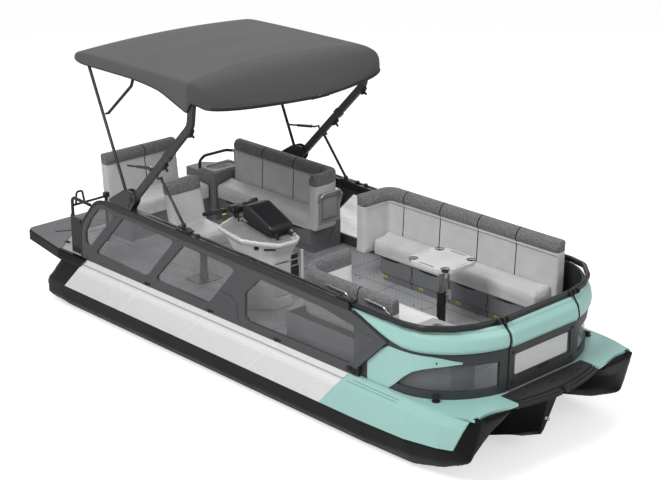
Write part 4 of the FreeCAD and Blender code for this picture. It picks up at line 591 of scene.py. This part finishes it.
# each bow lifts the cloth a little and it sags between them
for vert in bm.verts:
    x = vert.co.x * 1000 + 3200
    if 1260 < x < 2900 and vert.co.z > 2.74:
        sag = math.sin((x - 1372) / (2945 - 1372) * math.pi * 3) ** 2
        vert.co.z -= 0.007 * sag * max(0, 1 - (abs(vert.co.y) / 1.06) ** 4)
canopyArea = sum(face.calc_area() for face in bm.faces)
bmesh.ops.solidify(bm, geom=bm.faces, thickness=0.003)
print("canopy sheet", round(canopyArea, 3))
canopyCloth = newPiece("canopy_cloth", bm, ["canvas"], "bimini_arch_body", 60)
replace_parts(canopyCloth, "canopy")

bm = bmesh.new()
hemLine = [canopySpot(x, 1.0) for x in rows[2:]]
for side in (-1, 1):
    rod(bm, [(x, side * y, z + 2) for x, y, z in hemLine], 5, 0, 4, False, 2)
    # the hem is a doubled tape where it crosses the front
    for lift in (10, 18):
        rod(bm, [(x, side * (y - lift / 20), z + lift) for x, y, z in hemLine if x > 3150], 5.5, 0, 4, False, 2)
for lift in (0, 8, 16):
    rod(bm, [(3440 - lift / 4, -106, 2569 + lift), (3441 - lift / 4, 0, 2569 + lift),
             (3440 - lift / 4, 106, 2569 + lift)], 5.5, 0, 20)
canopyHem = newPiece("canopy_hem", bm, ["trim"], "bimini_arch_body")
print("canopy made")


# A copy of a drawn solid, merged, filled with even cells and relaxed, which rounds its edges.
def relaxedCopy(name, voxelMm, rounds):
    bm = bmesh.new()
    bm.from_mesh(nodes[name].data)
    bmesh.ops.remove_doubles(bm, verts=bm.verts, dist=1e-5)
    mesh = bpy.data.meshes.new(name + "Form")
    bm.to_mesh(mesh)
    bm.free()
    form = bpy.data.objects.new(name + "Form", mesh)
    collection.objects.link(form)
    filling = form.modifiers.new("fill", "REMESH")
    filling.mode = "VOXEL"
    filling.voxel_size = voxelMm / 1000
    solid = bpy.data.meshes.new_from_object(form.evaluated_get(bpy.context.evaluated_depsgraph_get()))
    form.modifiers.clear()
    bm = bmesh.new()
    bm.from_mesh(solid)
    for i in range(rounds):
        bmesh.ops.smooth_vert(bm, verts=bm.verts, factor=0.5, use_axis_x=True, use_axis_y=True, use_axis_z=True)
    bm.to_mesh(solid)
    bm.free()
    form.data = solid
    return form


# Upholstery: each pad is filled, softened and blown up a little as cloth, then sewn. The cap is how far it may swell.
stuffing = {"voxel": 12, "cap": 7, "rounds": 4, "quality": 3, "mass": 0.3, "pressure": 4.0, "frames": 14,
            "cacheEnd": 20}
pads = {
    "lounge_back": {"voxel": 13, "body": "boat", "roll": 1410,
                    "seams": [("x", 3721), ("x", 4195), ("x", 4666), ("x", 5126)]},
    "port_bench_back": {"voxel": 13, "body": "boat", "roll": 1410,
                        "seams": [("x", 1675), ("x", 2150), ("x", 2560)]},
    "stern_bench_back": {"body": "boat", "roll": 1410, "seams": [("y", 0)]},
    "lounge_cushion_aft": {"body": "lounge_lid_aft", "creases": [("y", 690), ("x", 4040)]},
    "lounge_cushion_fwd": {"body": "lounge_lid_fwd", "creases": [("y", 690), ("x", 5010)]},
    "port_bench_cushion": {"body": "port_seat_lid",
                           "creases": [("y", 690), ("x", 1675), ("x", 2150)]},
    "stern_bench_cushion": {"body": "stern_seat_lid", "creases": [("x", 1040), ("y", 20)]},
    "bow_seat_back": {"cap": 6, "body": "boat", "roll": 1240, "seams": [("x", 4905)]},
    "bow_seat_cushion": {"cap": 6, "body": "bow_seat_lid", "creases": [("y", -440)]},
    "bow_seat_corner": {"cap": 5, "body": "boat"},
    "chair": {"cap": 6, "body": "helm_chair", "roll": 1490},
}
for name, pad in pads.items():
    form = relaxedCopy(name, pad.get("voxel", stuffing["voxel"]), stuffing["rounds"])
    pad["form"] = form
    pad["start"] = [vert.co.copy() for vert in form.data.vertices]
    cloth = form.modifiers.new("stuffing", "CLOTH")
    cloth.settings.quality = stuffing["quality"]
    cloth.settings.mass = stuffing["mass"]
    cloth.settings.use_pressure = True
    cloth.settings.uniform_pressure_force = stuffing["pressure"]
    cloth.settings.effector_weights.gravity = 0
    cloth.point_cache.frame_start = 1
    cloth.point_cache.frame_end = stuffing["cacheEnd"]
    print("form", name, len(form.data.vertices))
for number in range(1, stuffing["frames"] + 1):
    bpy.context.scene.frame_set(number)
print("pads blown")


def stationOf(axis, value):
    return (value - 3200) / 1000 if axis == "x" else value / 1000


# A sewn line: the surface is cut at the line and both its edges, and pulled in along it.
def sew(bm, axis, place, half, depth, look=None, lowest=-1.0):
    which, value = "xyz".index(axis), stationOf(axis, place)
    direction = Vector([1.0 if i == which else 0.0 for i in range(3)])
    for offset in (-half, 0, half):
        spot = direction * (value + offset / 1000)
        bmesh.ops.bisect_plane(bm, geom=bm.verts[:] + bm.edges[:] + bm.faces[:], dist=1e-6, plane_co=spot,
                               plane_no=direction)
    bm.normal_update()
    moves = []
    for vert in bm.verts:
        gap = abs(vert.co[which] - value) * 1000
        if gap < half * 0.99 and vert.co.z > lowest:
            moves.append((vert, vert.normal * (-depth / 1000 * (1 - (gap / half) ** 2))))
    for vert, move in moves:
        vert.co += move
    if look is not None:
        for face in bm.faces:
            centre = face.calc_center_median()
            if abs(centre[which] - value) * 1000 < half * 0.9 and centre.z > lowest:
                face.material_index = look


for name, pad in pads.items():
    form = pad.pop("form")
    shape = form.evaluated_get(bpy.context.evaluated_depsgraph_get()).data
    cap, ends = pad.get("cap", stuffing["cap"]) / 1000, [vert.co.copy() for vert in shape.vertices]
    lowest = min(spot.z for spot in pad["start"])
    form.modifiers.clear()
    for vert, start, end in zip(form.data.vertices, pad["start"], ends):
        move = end - start
        if move.length > cap:
            move *= cap / move.length
        vert.co = start + move * min(1.0, (start.z - lowest) / 0.05)
    bm = bmesh.new()
    bm.from_mesh(form.data)
    bpy.data.objects.remove(form)
    roll = pad.get("roll")
    if roll:
        sew(bm, "z", roll, 7, 9)
    # each panel seam's faces take the dark look: painted shade in the sewn groove
    for axis, place in pad.get("seams", []):
        sew(bm, axis, place, 5.5, 13, 2)
    for axis, place in pad.get("creases", []):
        sew(bm, axis, place, 5, 3.5)
    if roll:
        for face in bm.faces:
            if face.calc_center_median().z * 1000 > roll and face.material_index == 0:
                face.material_index = 1
    looks = ["vinylWhite" if name.startswith("bow_seat") else "vinyl", "heather", "seam"]
    piece = newPiece(name + "_pad", bm, looks, pad["body"], 50)
    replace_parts(piece, name)
print("pads sewn")

# Piping under the head rolls, a cord sewn between the pad and the roll
bm = bmesh.new()
rod(bm, [(5606, 819, 1401), (3668, 819, 1401), (3537, 819, 1401), (3537, 690, 1401), (3537, 486, 1401)], 5, 0, 120)
newPiece("lounge_piping", bm, ["vinyl"], "boat")
bm = bmesh.new()
rod(bm, [(1206, 819, 1401), (2520, 819, 1401), (2643, 819, 1401), (2643, 690, 1401), (2643, 568, 1401)], 5, 0, 120)
newPiece("port_bench_piping", bm, ["vinyl"], "boat")


# The camera's place and turn. The helm's fittings that face it are seated along its line of sight.
view = {"place": (10.8715, -10.0067, 6.4885), "azimuth": 46.37, "elevation": 19.97, "lens": 89.86}


# Where a line from one spot through another first meets a part of the boat, so that a fitting sits on it.
def onto(node, start, aim, lift=0.0):
    aim = (aim - start).normalized()
    hit, spot, normal, face = nodes[node].ray_cast(start, aim)
    if not hit:
        print("nothing met on", node, [round(v, 3) for v in start])
        return None, None
    if normal.dot(aim) > 0:
        normal = -normal
    return spot + normal * (lift / 1000), normal


def station(spot):
    return (spot.x * 1000 + 3200, spot.y * 1000, spot.z * 1000)


# The places where a row of such lines meets a part, for a thin tube laid along it.
def traced(node, rays, lift=0.0):
    spots = [onto(node, start, aim)[0] for start, aim in rays]
    return [station(spot + Vector((0, 0, lift / 1000))) for spot in spots if spot is not None]


# Bolts and small round heads, standing on the surface they meet.
def stud(bm, node, start, aim, radius, height, look=0, sides=12):
    spot, normal = onto(node, start, aim)
    if spot is None:
        return
    before = set(bm.faces)
    turn = normal.to_track_quat("Z", "Y").to_matrix().to_4x4()
    place = Matrix.Translation(spot + normal * height / 2000) @ turn
    bmesh.ops.create_cone(bm, cap_ends=True, segments=sides, radius1=radius / 1000, radius2=radius * 0.86 / 1000,
                          depth=height / 1000, matrix=place)
    painted(bm, before, look)


# A block standing on the surface it meets, turned to it.
def seated(bm, node, start, aim, size, round=2, look=0, spin=0.0):
    spot, normal = onto(node, start, aim)
    if spot is None:
        return
    turn = normal.to_track_quat("Z", "Y").to_matrix().to_4x4() @ Matrix.Rotation(spin, 4, "Z")
    block(bm, station(spot + normal * (size[2] / 2000 - 0.001)), size, round, look, turn)


def outside(side, x, z):
    return at(x, side * 1700, z), at(x, 0, z)


# Seats: yellow tags low on the bases, dark finger grips under the cushions, painted shade in the hollows, handles on
# the bow bolsters.
bm = bmesh.new()
for x in (3663, 4140, 4610, 5079):
    seated(bm, "lounge_base", at(x, 0, 706), at(x, 1000, 706), (52, 24, 4), 1.5, 0)
    seated(bm, "lounge_base", at(x, 0, 706), at(x, 1000, 706), (34, 9, 5.5), 1, 1)
for x in (1440, 1900, 2380):
    seated(bm, "port_bench_base", at(x, 0, 706), at(x, 1000, 706), (52, 24, 4), 1.5, 0)
newPiece("seat_tags", bm, ["yellow", "seam"], "boat")

grips = [("lounge_base", (3760, 4250, 4725, 5200), (4025, 4500, 4975), "lounge_grip_shades"),
         ("port_bench_base", (1440, 1925, 2400), (1686, 2161), "port_bench_grip_shades")]
# dark wavy lines where the bays meet and dark ovals for the finger grips: painted shade in the gaps and hollows
for node, places, seams, name in grips:
    bm = bmesh.new()
    for x in seams:
        bends = [(x + 14 * math.sin(k / 6 * math.pi * 2), 906 - k * 38) for k in range(7)]
        rod(bm, traced(node, [(at(u, 0, z), at(u, 1000, z)) for u, z in bends]), 3.4, 0, 12, False, 2)
    for x in places:
        place = Matrix.Translation(at(x, 616, 913)) @ Matrix.Diagonal((0.125, 0.008, 0.014, 1))
        bmesh.ops.create_uvsphere(bm, u_segments=24, v_segments=10, radius=1.0, matrix=place)
    newPiece(name, bm, ["seam"], "boat")

bm = bmesh.new()
for x0, x1 in ((4542, 4837), (5015, 5290)):
    rod(bm, [(x0, -950, 1322), (x0 + 8, -984, 1322), (x1 - 40, -984, 1310), (x1, -984, 1268),
             (x1, -948, 1262)], 11, 0, 30)
newPiece("bow_bolster_handles", bm, ["chrome"], "boat")

# The port bench's forward end: a moulded panel with a raised frame, and a tube round it to hold on to
bm = bmesh.new()
block(bm, (2766, 752, 1170), (16, 300, 330), 7, 0)
block(bm, (2773, 752, 1165), (10, 220, 240), 4, 1)
block(bm, (2778, 752, 1165), (6, 190, 205), 3, 0)
rod(bm, [(2760, 606, 1240), (2800, 606, 1300), (2806, 640, 1338), (2806, 860, 1338), (2800, 898, 1300),
         (2760, 898, 1180)], 12, 2, 30)
newPiece("port_bench_end_panel", bm, ["lightPlastic", "base", "chrome"], "boat")
bm = bmesh.new()
rod(bm, [(2640, 690, 885), (2640, 960, 885), (2640, 880, 742), (2640, 725, 742)], 9, 0, 30, True)
newPiece("port_bench_base_frame", bm, ["base"], "boat")

# Table: dark cup liners and rims, the black sleeve's ring, two card slots drawn as dark strips, painted shade in the
# slots
bm = bmesh.new()
for sx in (-1, 1):
    for sy in (-1, 1):
        disc(bm, (4854 + sx * 190, 150 + sy * 170, 1321), 38.5, 5, "z", 1, 0)
        ring(bm, (4854 + sx * 190, 150 + sy * 170, 1341), 41, 2.6)
for sy in (-1, 1):
    block(bm, (4854, 150 + sy * 205, 1340.5), (170, 9, 2), 0.8, 0)
for sx in (-1, 1):
    block(bm, (4854 + sx * 222, 150, 1340.5), (7, 150, 2), 0.8, 1)
newPiece("table_fittings", bm, ["seam", "lightPlastic"], "boat")
bm = bmesh.new()
disc(bm, (4854, 150, 845), 40, 330, "z", 4, 0, 32)
disc(bm, (4854, 150, 1012), 43, 26, "z", 5, 0, 32)
block(bm, (4930, 170, 1015), (40, 16, 90), 6, 1)
disc(bm, (4854, 150, 677), 60, 10, "z", 3, 0, 32)
newPiece("table_sleeve", bm, ["trim", "lightPlastic"], "boat")

bm = bmesh.new()
for x in (5476, 5616):
    disc(bm, (x, -572, 1074), 40, 10, "z", 1, 0)
    for radius, height in ((44, 1098), (58, 1097)):
        ring(bm, (x, -572, height), radius, 3, 1)
newPiece("bow_tray_rings", bm, ["seam", "lightPlastic"], "boat")

# Corner box: the dished lid's rings
bm = bmesh.new()
for radius in (60, 95, 130):
    ring(bm, (1050, 790, 1211), radius, 3.4, 0, 12, 0.62)
newPiece("corner_lid_rings", bm, ["lightPlastic"], "corner_lid_body")
print("seat fittings made")

# Fence and rail: latches at the fence's foot, then the strut's carriages and stops on the slotted rail
bm = bmesh.new()
for side in (-1, 1):
    for x in (2196, 3138, 4060):
        start, aim = outside(side, x, 690)
        seated(bm, "side_fences", start, aim, (86, 14, 9), 2.5, 0)
        seated(bm, "side_fences", *outside(side, x - 22, 684), (26, 20, 14), 3, 0)
    for x, z in ((4985, 716), (5035, 700)):
        stud(bm, "side_fences", *outside(side, x, z), 24, 18, 0, 20)
        stud(bm, "side_fences", *outside(side, x, z), 10, 26, 0, 12)
    seated(bm, "side_fences", *outside(side, 5010, 708), (150, 44, 10), 4, 0)
    for x, z in ((1500, 705), (1212, 705), (3560, 705), (3700, 705), (4750, 705), (4860, 1180), (5120, 940),
                 (1735, 1250), (2700, 1265)):
        stud(bm, "side_fences", *outside(side, x, z), 6, 3, 0)
newPiece("fence_latches", bm, ["trim"], "boat")

bm = bmesh.new()
for side in (-1, 1):
    for x, length, height in ((2745, 180, 26), (2930, 70, 16), (3630, 90, 12), (3775, 60, 12), (4905, 200, 20),
                              (1980, 60, 14), (3300, 40, 10)):
        spot, normal = onto("side_rails", at(x, side * 1084, 1700), at(x, side * 1084, 0))
        if spot is not None:
            block(bm, station(spot + Vector((0, 0, height / 2000 - 0.001))), (length, 58, height), 6, 0)
            for shift in (-0.3, 0.3):
                disc(bm, (x + length * shift, side * 1084, spot.z * 1000 + height + 3), 9, 8, "z", 2, 0, 12)
    for x in (2835, 2950):
        spot, normal = onto("side_rails", at(x, side * 1084, 1700), at(x, side * 1084, 0))
        if spot is not None:
            disc(bm, (x, side * 1084, spot.z * 1000 + 22), 20, 36, "z", 6, 0, 20)
newPiece("rail_carriages", bm, ["coat"], "boat")

# The rail's track: two slots that run along its outer face and its top, drawn as paler tubes, painted highlights on
# the slots' edges
bm = bmesh.new()
for side in (-1, 1):
    for lift in (0, 1):
        y = side * (1084 + 14 - 28 * lift)
        rays = [(at(1760 + k * 285, y, 1700), at(1760 + k * 285, y, 0)) for k in range(12)]
        rod(bm, traced("side_rails", rays, 0.5), 3.2, 0, 10, False, 2)
newPiece("rail_slot_highlights", bm, ["fence"], "boat")

# Fence mould line between the third and fourth windows
bm = bmesh.new()
for side in (-1, 1):
    line = [(3290, side * 1112, 936), (3440, side * 1112, 925), (3505, side * 1112, 880), (3528, side * 1112, 720)]
    rod(bm, line, 2.2, 0, 40, False, 2)
newPiece("fence_mould_lines", bm, ["seam"], "boat")

# Bow plates' bolts
bm = bmesh.new()
for side in (-1, 1):
    stud(bm, "bow_plates", *outside(side, 5450, 1048), 9, 5, 0, 16)
    stud(bm, "bow_plates", *outside(side, 5300, 1030), 7, 4, 0, 16)
    stud(bm, "bow_plates", at(6900, side * 1500, 990), at(5300, side * 700, 990), 8, 5, 0, 16)
newPiece("bow_plate_bolts", bm, ["seam"], "boat")

# Bow rail collars beside the gate, and the dark joints between the teal bands
bm = bmesh.new()
for side in (-1, 1):
    for y in (405, 455, 505):
        disc(bm, (6083, side * y, 1297), 27, 24, "y", 5, 0, 24)
newPiece("rail_collars", bm, ["trim"], "boat")
bm = bmesh.new()
for side in (-1, 1):
    rays = [(at(6900, side * (452 - 14 * math.sin(k / 12 * math.pi)), 1064 + k * 17.3),
             at(0, side * 452, 1064 + k * 17.3)) for k in range(13)]
    line = traced("bow_bands", rays)
    if len(line) > 3:
        rod(bm, line, 8, 0, 6, False, 3)
newPiece("band_joints", bm, ["seam"], "boat")

# A rubber seal closes the slot between the bow rail and the bands
bm = bmesh.new()
bm.from_mesh(nodes["bow_rails"].data)
bmesh.ops.translate(bm, vec=(0, 0, -0.016), verts=bm.verts)
newPiece("rail_seal", bm, ["trim"], "boat")

# The step pressed into each bow cap: two fold lines that meet forward, laid as thin darker teal tubes, painted shade
# in the grooves.
bm = bmesh.new()
for side in (-1, 1):
    for x0, x1, y, z in ((4700, 5560, 1138, 640), (4760, 5540, 1150, 618)):
        places = [x0 + (x1 - x0) * k / 8 for k in range(9)]
        line = traced("bow_caps", [(at(x, side * (y + 260), z + 260), at(x, side * y, z)) for x in places])
        if len(line) > 3:
            rod(bm, line, 3, 0, 10, False, 2)
newPiece("cap_step_groove_shades", bm, ["tealGrooveShade"], "boat")

# Gate: the pull below the pane and small latches at its corners
bm = bmesh.new()
seated(bm, "gate_frame", at(6900, 20, 772), at(0, 20, 772), (150, 16, 8), 3, 0)
for y in (-385, 385):
    for z in (1010, 740):
        seated(bm, "gate_frame", at(6900, y, z), at(0, y, z), (34, 20, 6), 2, 0)
for z in (780, 960, 1180):
    stud(bm, "gate_frame", at(6900, -412, z), at(0, -412, z), 5, 4, 0)
newPiece("gate_fittings", bm, ["trim"], "gate")
print("fence fittings made")

# Bow step: three slots drawn as dark strips, painted shade in them, a ribbed lip, and the towing eye on the middle
# stem
bm = bmesh.new()
for y, length in ((-352, 70), (31, 96), (361, 70)):
    spot, normal = onto("bow_platform", at(6250, y, 1200), at(6250, y, 0))
    if spot is not None:
        block(bm, station(spot), (16, length, 3), 1, 1)
for z in (655, 640, 622, 609):
    rays = [(at(7000, -490 + k * 70, z), at(0, -490 + k * 70, z)) for k in range(15)]
    line = [place for place in traced("bow_platform", rays) if place[0] > 6000]
    if len(line) > 3:
        rod(bm, line, 4.5, 0, 8, False, 2)
for y in (-470, -240, 240, 470):
    disc(bm, (6190, y, 664), 7, 4, "z", 1, 1, 12)
newPiece("bow_step_fittings", bm, ["trim", "seam"], "boat")
bm = bmesh.new()
spot, normal = onto("centre_hull", at(7000, 0, 315), at(0, 0, 315))
if spot is not None:
    x, y, z = station(spot)
    ring(bm, (x + 14, 0, z), 20, 5, upright=True)
    disc(bm, (x + 1, 0, z), 20, 6, "x", 2, 0, 24)
newPiece("towing_eye", bm, ["chrome"], "boat")

# Mooring cleats that stand on the teal caps
bm = bmesh.new()
for side in (-1, 1):
    x, y = 5852, side * 985
    spot, normal = onto("bow_caps", at(x, y, 1600), at(x, y, 0))
    if spot is not None:
        foot = spot.z * 1000
        disc(bm, (x, y, foot + 5), 36, 12, "z", 4, 0, 28)
        block(bm, (x, y, foot + 24), (26, 26, 28), 6, 0)
        block(bm, (x, y, foot + 38), (78, 20, 14), 6, 0)
newPiece("mooring_cleats", bm, ["trim"], "boat")

# Swim step: the ladder's slot, a small pocket and three grooves each side, drawn as thin dark blocks, painted shade
# in them
bm = bmesh.new()
for side in (-1, 1):
    block(bm, (351, side * 784, 670), (190, 26, 3), 1.2, 0, Matrix.Rotation(-side * 1.05, 4, "Z"))
    block(bm, (650, side * 952, 670), (70, 44, 3), 1.2, 0)
    for x in (120, 330, 560):
        block(bm, (x, side * 420, 669.5), (6, 620, 2), 0.8, 0)
newPiece("swim_step_slots", bm, ["seam"], "boat")

# Canopy frame: clips under the arms, pivot heads, and yellow buttons on the folding links
bm = bmesh.new()
for side in (-1, 1):
    disc(bm, (2010, side * 1128, 1490), 26, 10, "y", 3, 0, 24)
    disc(bm, (2010, side * 1134, 1490), 12, 8, "y", 2, 0, 12)
newPiece("bracket_pivots", bm, ["coat"], "boat")
bm = bmesh.new()
for side in (-1, 1):
    for x, z, spin in ((2505, 1925, 0.79), (2905, 2330, 0.5)):
        block(bm, (x, side * 1089, z), (26, 44, 84), 6, 0, Matrix.Rotation(spin, 4, "Y"))
        block(bm, (x + 24, side * 1089, z - 22), (40, 20, 18), 5, 0, Matrix.Rotation(spin, 4, "Y"))
newPiece("arm_clips", bm, ["trim"], "bimini_arch_body")
bm = bmesh.new()
for side in (-1, 1):
    disc(bm, (2215, side * 1030, 1849), 9, 14, "z", 2, 0, 16)
newPiece("link_buttons", bm, ["yellow"], "link_body")

# Helm: grips, levers and the clamp pod on the bar
bm = bmesh.new()
for side in (-1, 1):
    rod(bm, [(2844, -585 + side * 245, 1507), (2826, -585 + side * 324, 1500)], 19, 0, 5, False, 4)
    rod(bm, [(2880, -585 + side * 130, 1502), (2905, -585 + side * 170, 1508),
             (2880, -585 + side * 300, 1498)], 7, 1, 20)
    block(bm, (2884, -585 + side * 140, 1508), (58, 46, 44), 10, 1)
    block(bm, (2900, -585 + side * 140, 1482), (30, 34, 16), 3, 2)
block(bm, (2914, -585, 1520), (96, 150, 46), 18, 1)
block(bm, (2950, -585, 1508), (60, 96, 60), 16, 1)
rod(bm, [(2960, -545, 1490), (3010, -530, 1460), (3010, -530, 1420)], 8, 1, 25)
rod(bm, [(2960, -625, 1490), (3010, -640, 1460), (3010, -640, 1420)], 8, 1, 25)
newPiece("helm_grips", bm, ["trim", "coat", "yellow"], "helm_bar")

# Console: the locker's latch and pull on the starboard flare, the speaker mesh, and the white post to the floor
eye = Vector(view["place"])
bm = bmesh.new()
seated(bm, "console", eye, at(3524, -875, 1347), (44, 34, 8), 4, 0)
seated(bm, "console", eye, at(3645, -820, 1350), (110, 16, 10), 4, 0)
newPiece("console_latch", bm, ["trim"], "boat")
bm = bmesh.new()
rod(bm, [(3560, -352, 1210), (3566, -352, 1000), (3560, -352, 676)], 15, 0, 60, False, 4)
newPiece("console_post", bm, ["gelcoat"], "boat")
bm = bmesh.new()
for z in (1150, 1090):
    block(bm, (3524, -410, z), (8, 74, 44), 3, 0)
block(bm, (3524, -405, 960), (8, 90, 190), 3, 0)
newPiece("console_mesh", bm, ["mesh"], "boat")
print("helm fittings made")

# Screw heads in the floor panels
bm = bmesh.new()
for x, y in ((3300, 520), (3300, 440), (3380, 520), (3380, 440), (3460, 500), (3340, 350), (4300, 380), (4300, 300),
             (4400, 380), (4400, 300), (2900, 300), (2900, -180), (4100, -200), (4200, -200), (4100, -280),
             (3700, -180)):
    disc(bm, (x, y, 666), 9, 3, "z", 1, 0, 10)
newPiece("floor_screws", bm, ["seam"], "boat")

# Moulded skins whose curves are softer than the drawn stations: filled, then relaxed.
softer = {
    "outer_hulls": {"voxel": 22, "rounds": 8, "look": "hull", "piece": "hull_mouldings", "body": "boat"},
    "bow_bands": {"voxel": 9, "rounds": 8, "look": "band", "piece": "bow_band_skins", "body": "boat"},
    "gate_band": {"voxel": 9, "rounds": 8, "look": "band", "piece": "gate_band_skin", "body": "gate"},
    "console": {"voxel": 9, "rounds": 12, "look": "console", "piece": "console_moulding", "body": "boat"},
    "console_hood": {"voxel": 8, "rounds": 14, "look": "hood", "piece": "hood_moulding", "body": "boat"},
}
for name, skin in softer.items():
    form = relaxedCopy(name, skin["voxel"], skin["rounds"])
    bm = bmesh.new()
    bm.from_mesh(form.data)
    bpy.data.objects.remove(form)
    print("skin", name, len(bm.verts))
    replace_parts(newPiece(skin["piece"], bm, [skin["look"]], skin["body"], 70), name)

# Camera, lamps, floor
azimuth, elevation = math.radians(view["azimuth"]), math.radians(view["elevation"])
back = Vector((math.sin(azimuth) * math.cos(elevation), -math.cos(azimuth) * math.cos(elevation),
               math.sin(elevation)))
right = Vector((math.cos(azimuth), math.sin(azimuth), 0))
camera = bpy.data.objects.new("camera", bpy.data.cameras.new("camera"))
camera.data.lens = view["lens"]
camera.data.sensor_width = 36
camera.data.clip_end = 200
turn = Matrix((right, back.cross(right), back)).transposed().to_4x4()
camera.matrix_world = Matrix.Translation(Vector(view["place"])) @ turn
collection.objects.link(camera)
bpy.context.scene.camera = camera

middle = Vector((0, 0, 0.8))
lamps = [
    {"name": "keyLamp", "place": (2.0, -7.0, 9.0), "size": 4.5, "power": 640},
    {"name": "fillLamp", "place": (9.0, 2.0, 6.0), "size": 6.0, "power": 170},
    {"name": "rimLamp", "place": (-7.0, 5.0, 7.0), "size": 5.0, "power": 200},
]
for lamp in lamps:
    data = bpy.data.lights.new(lamp["name"], "AREA")
    data.size = lamp["size"]
    data.energy = lamp["power"]
    item = bpy.data.objects.new(lamp["name"], data)
    turn = (middle - Vector(lamp["place"])).to_track_quat("-Z", "Y").to_matrix().to_4x4()
    item.matrix_world = Matrix.Translation(Vector(lamp["place"])) @ turn
    collection.objects.link(item)

studio = {"sky": 0.44, "floorSize": 60, "floorDrop": -0.002, "floorGlow": 0.6}
world = bpy.data.worlds.new("studio")
bpy.context.scene.world = world
world.use_nodes = True
tree = world.node_tree
rays = addNode(tree, "ShaderNodeLightPath")
seen = addNode(tree, "ShaderNodeMath", {"operation": "ADD", "use_clamp": True},
               {0: rays.outputs["Is Camera Ray"], 1: rays.outputs["Is Transmission Ray"]})
sky = addNode(tree, "ShaderNodeMapRange", {"To Min": studio["sky"], "To Max": 1.0}, {"Value": seen.outputs[0]})
tree.nodes["Background"].inputs["Color"].default_value = (1, 1, 1, 1)
tree.links.new(sky.outputs["Result"], tree.nodes["Background"].inputs["Strength"])

bm = bmesh.new()
bmesh.ops.create_grid(bm, x_segments=1, y_segments=1, size=studio["floorSize"])
bmesh.ops.translate(bm, vec=(0, 0, studio["floorDrop"]), verts=bm.verts)
mesh = bpy.data.meshes.new("floor")
bm.to_mesh(mesh)
bm.free()
floor = bpy.data.objects.new("floor", mesh)
collection.objects.link(floor)
# The floor is matt paper that glows a little to the camera, so it is white and keeps the boat's soft shadow.
paper = newSurface("floorPaper", {"Roughness": 0.9, "Base Color": (0.8, 0.8, 0.8, 1), "Emission Color": (1, 1, 1, 1)})
seenFloor = addNode(paper["tree"], "ShaderNodeLightPath").outputs["Is Camera Ray"]
link(paper, maths(paper, "MULTIPLY", seenFloor, studio["floorGlow"]), "Emission Strength")
mesh.materials.append(paper["material"])
bpy.context.scene.view_settings.view_transform = "Standard"
print("stage set")

for piece in (canopyCloth, canopyHem):
    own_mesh(piece)
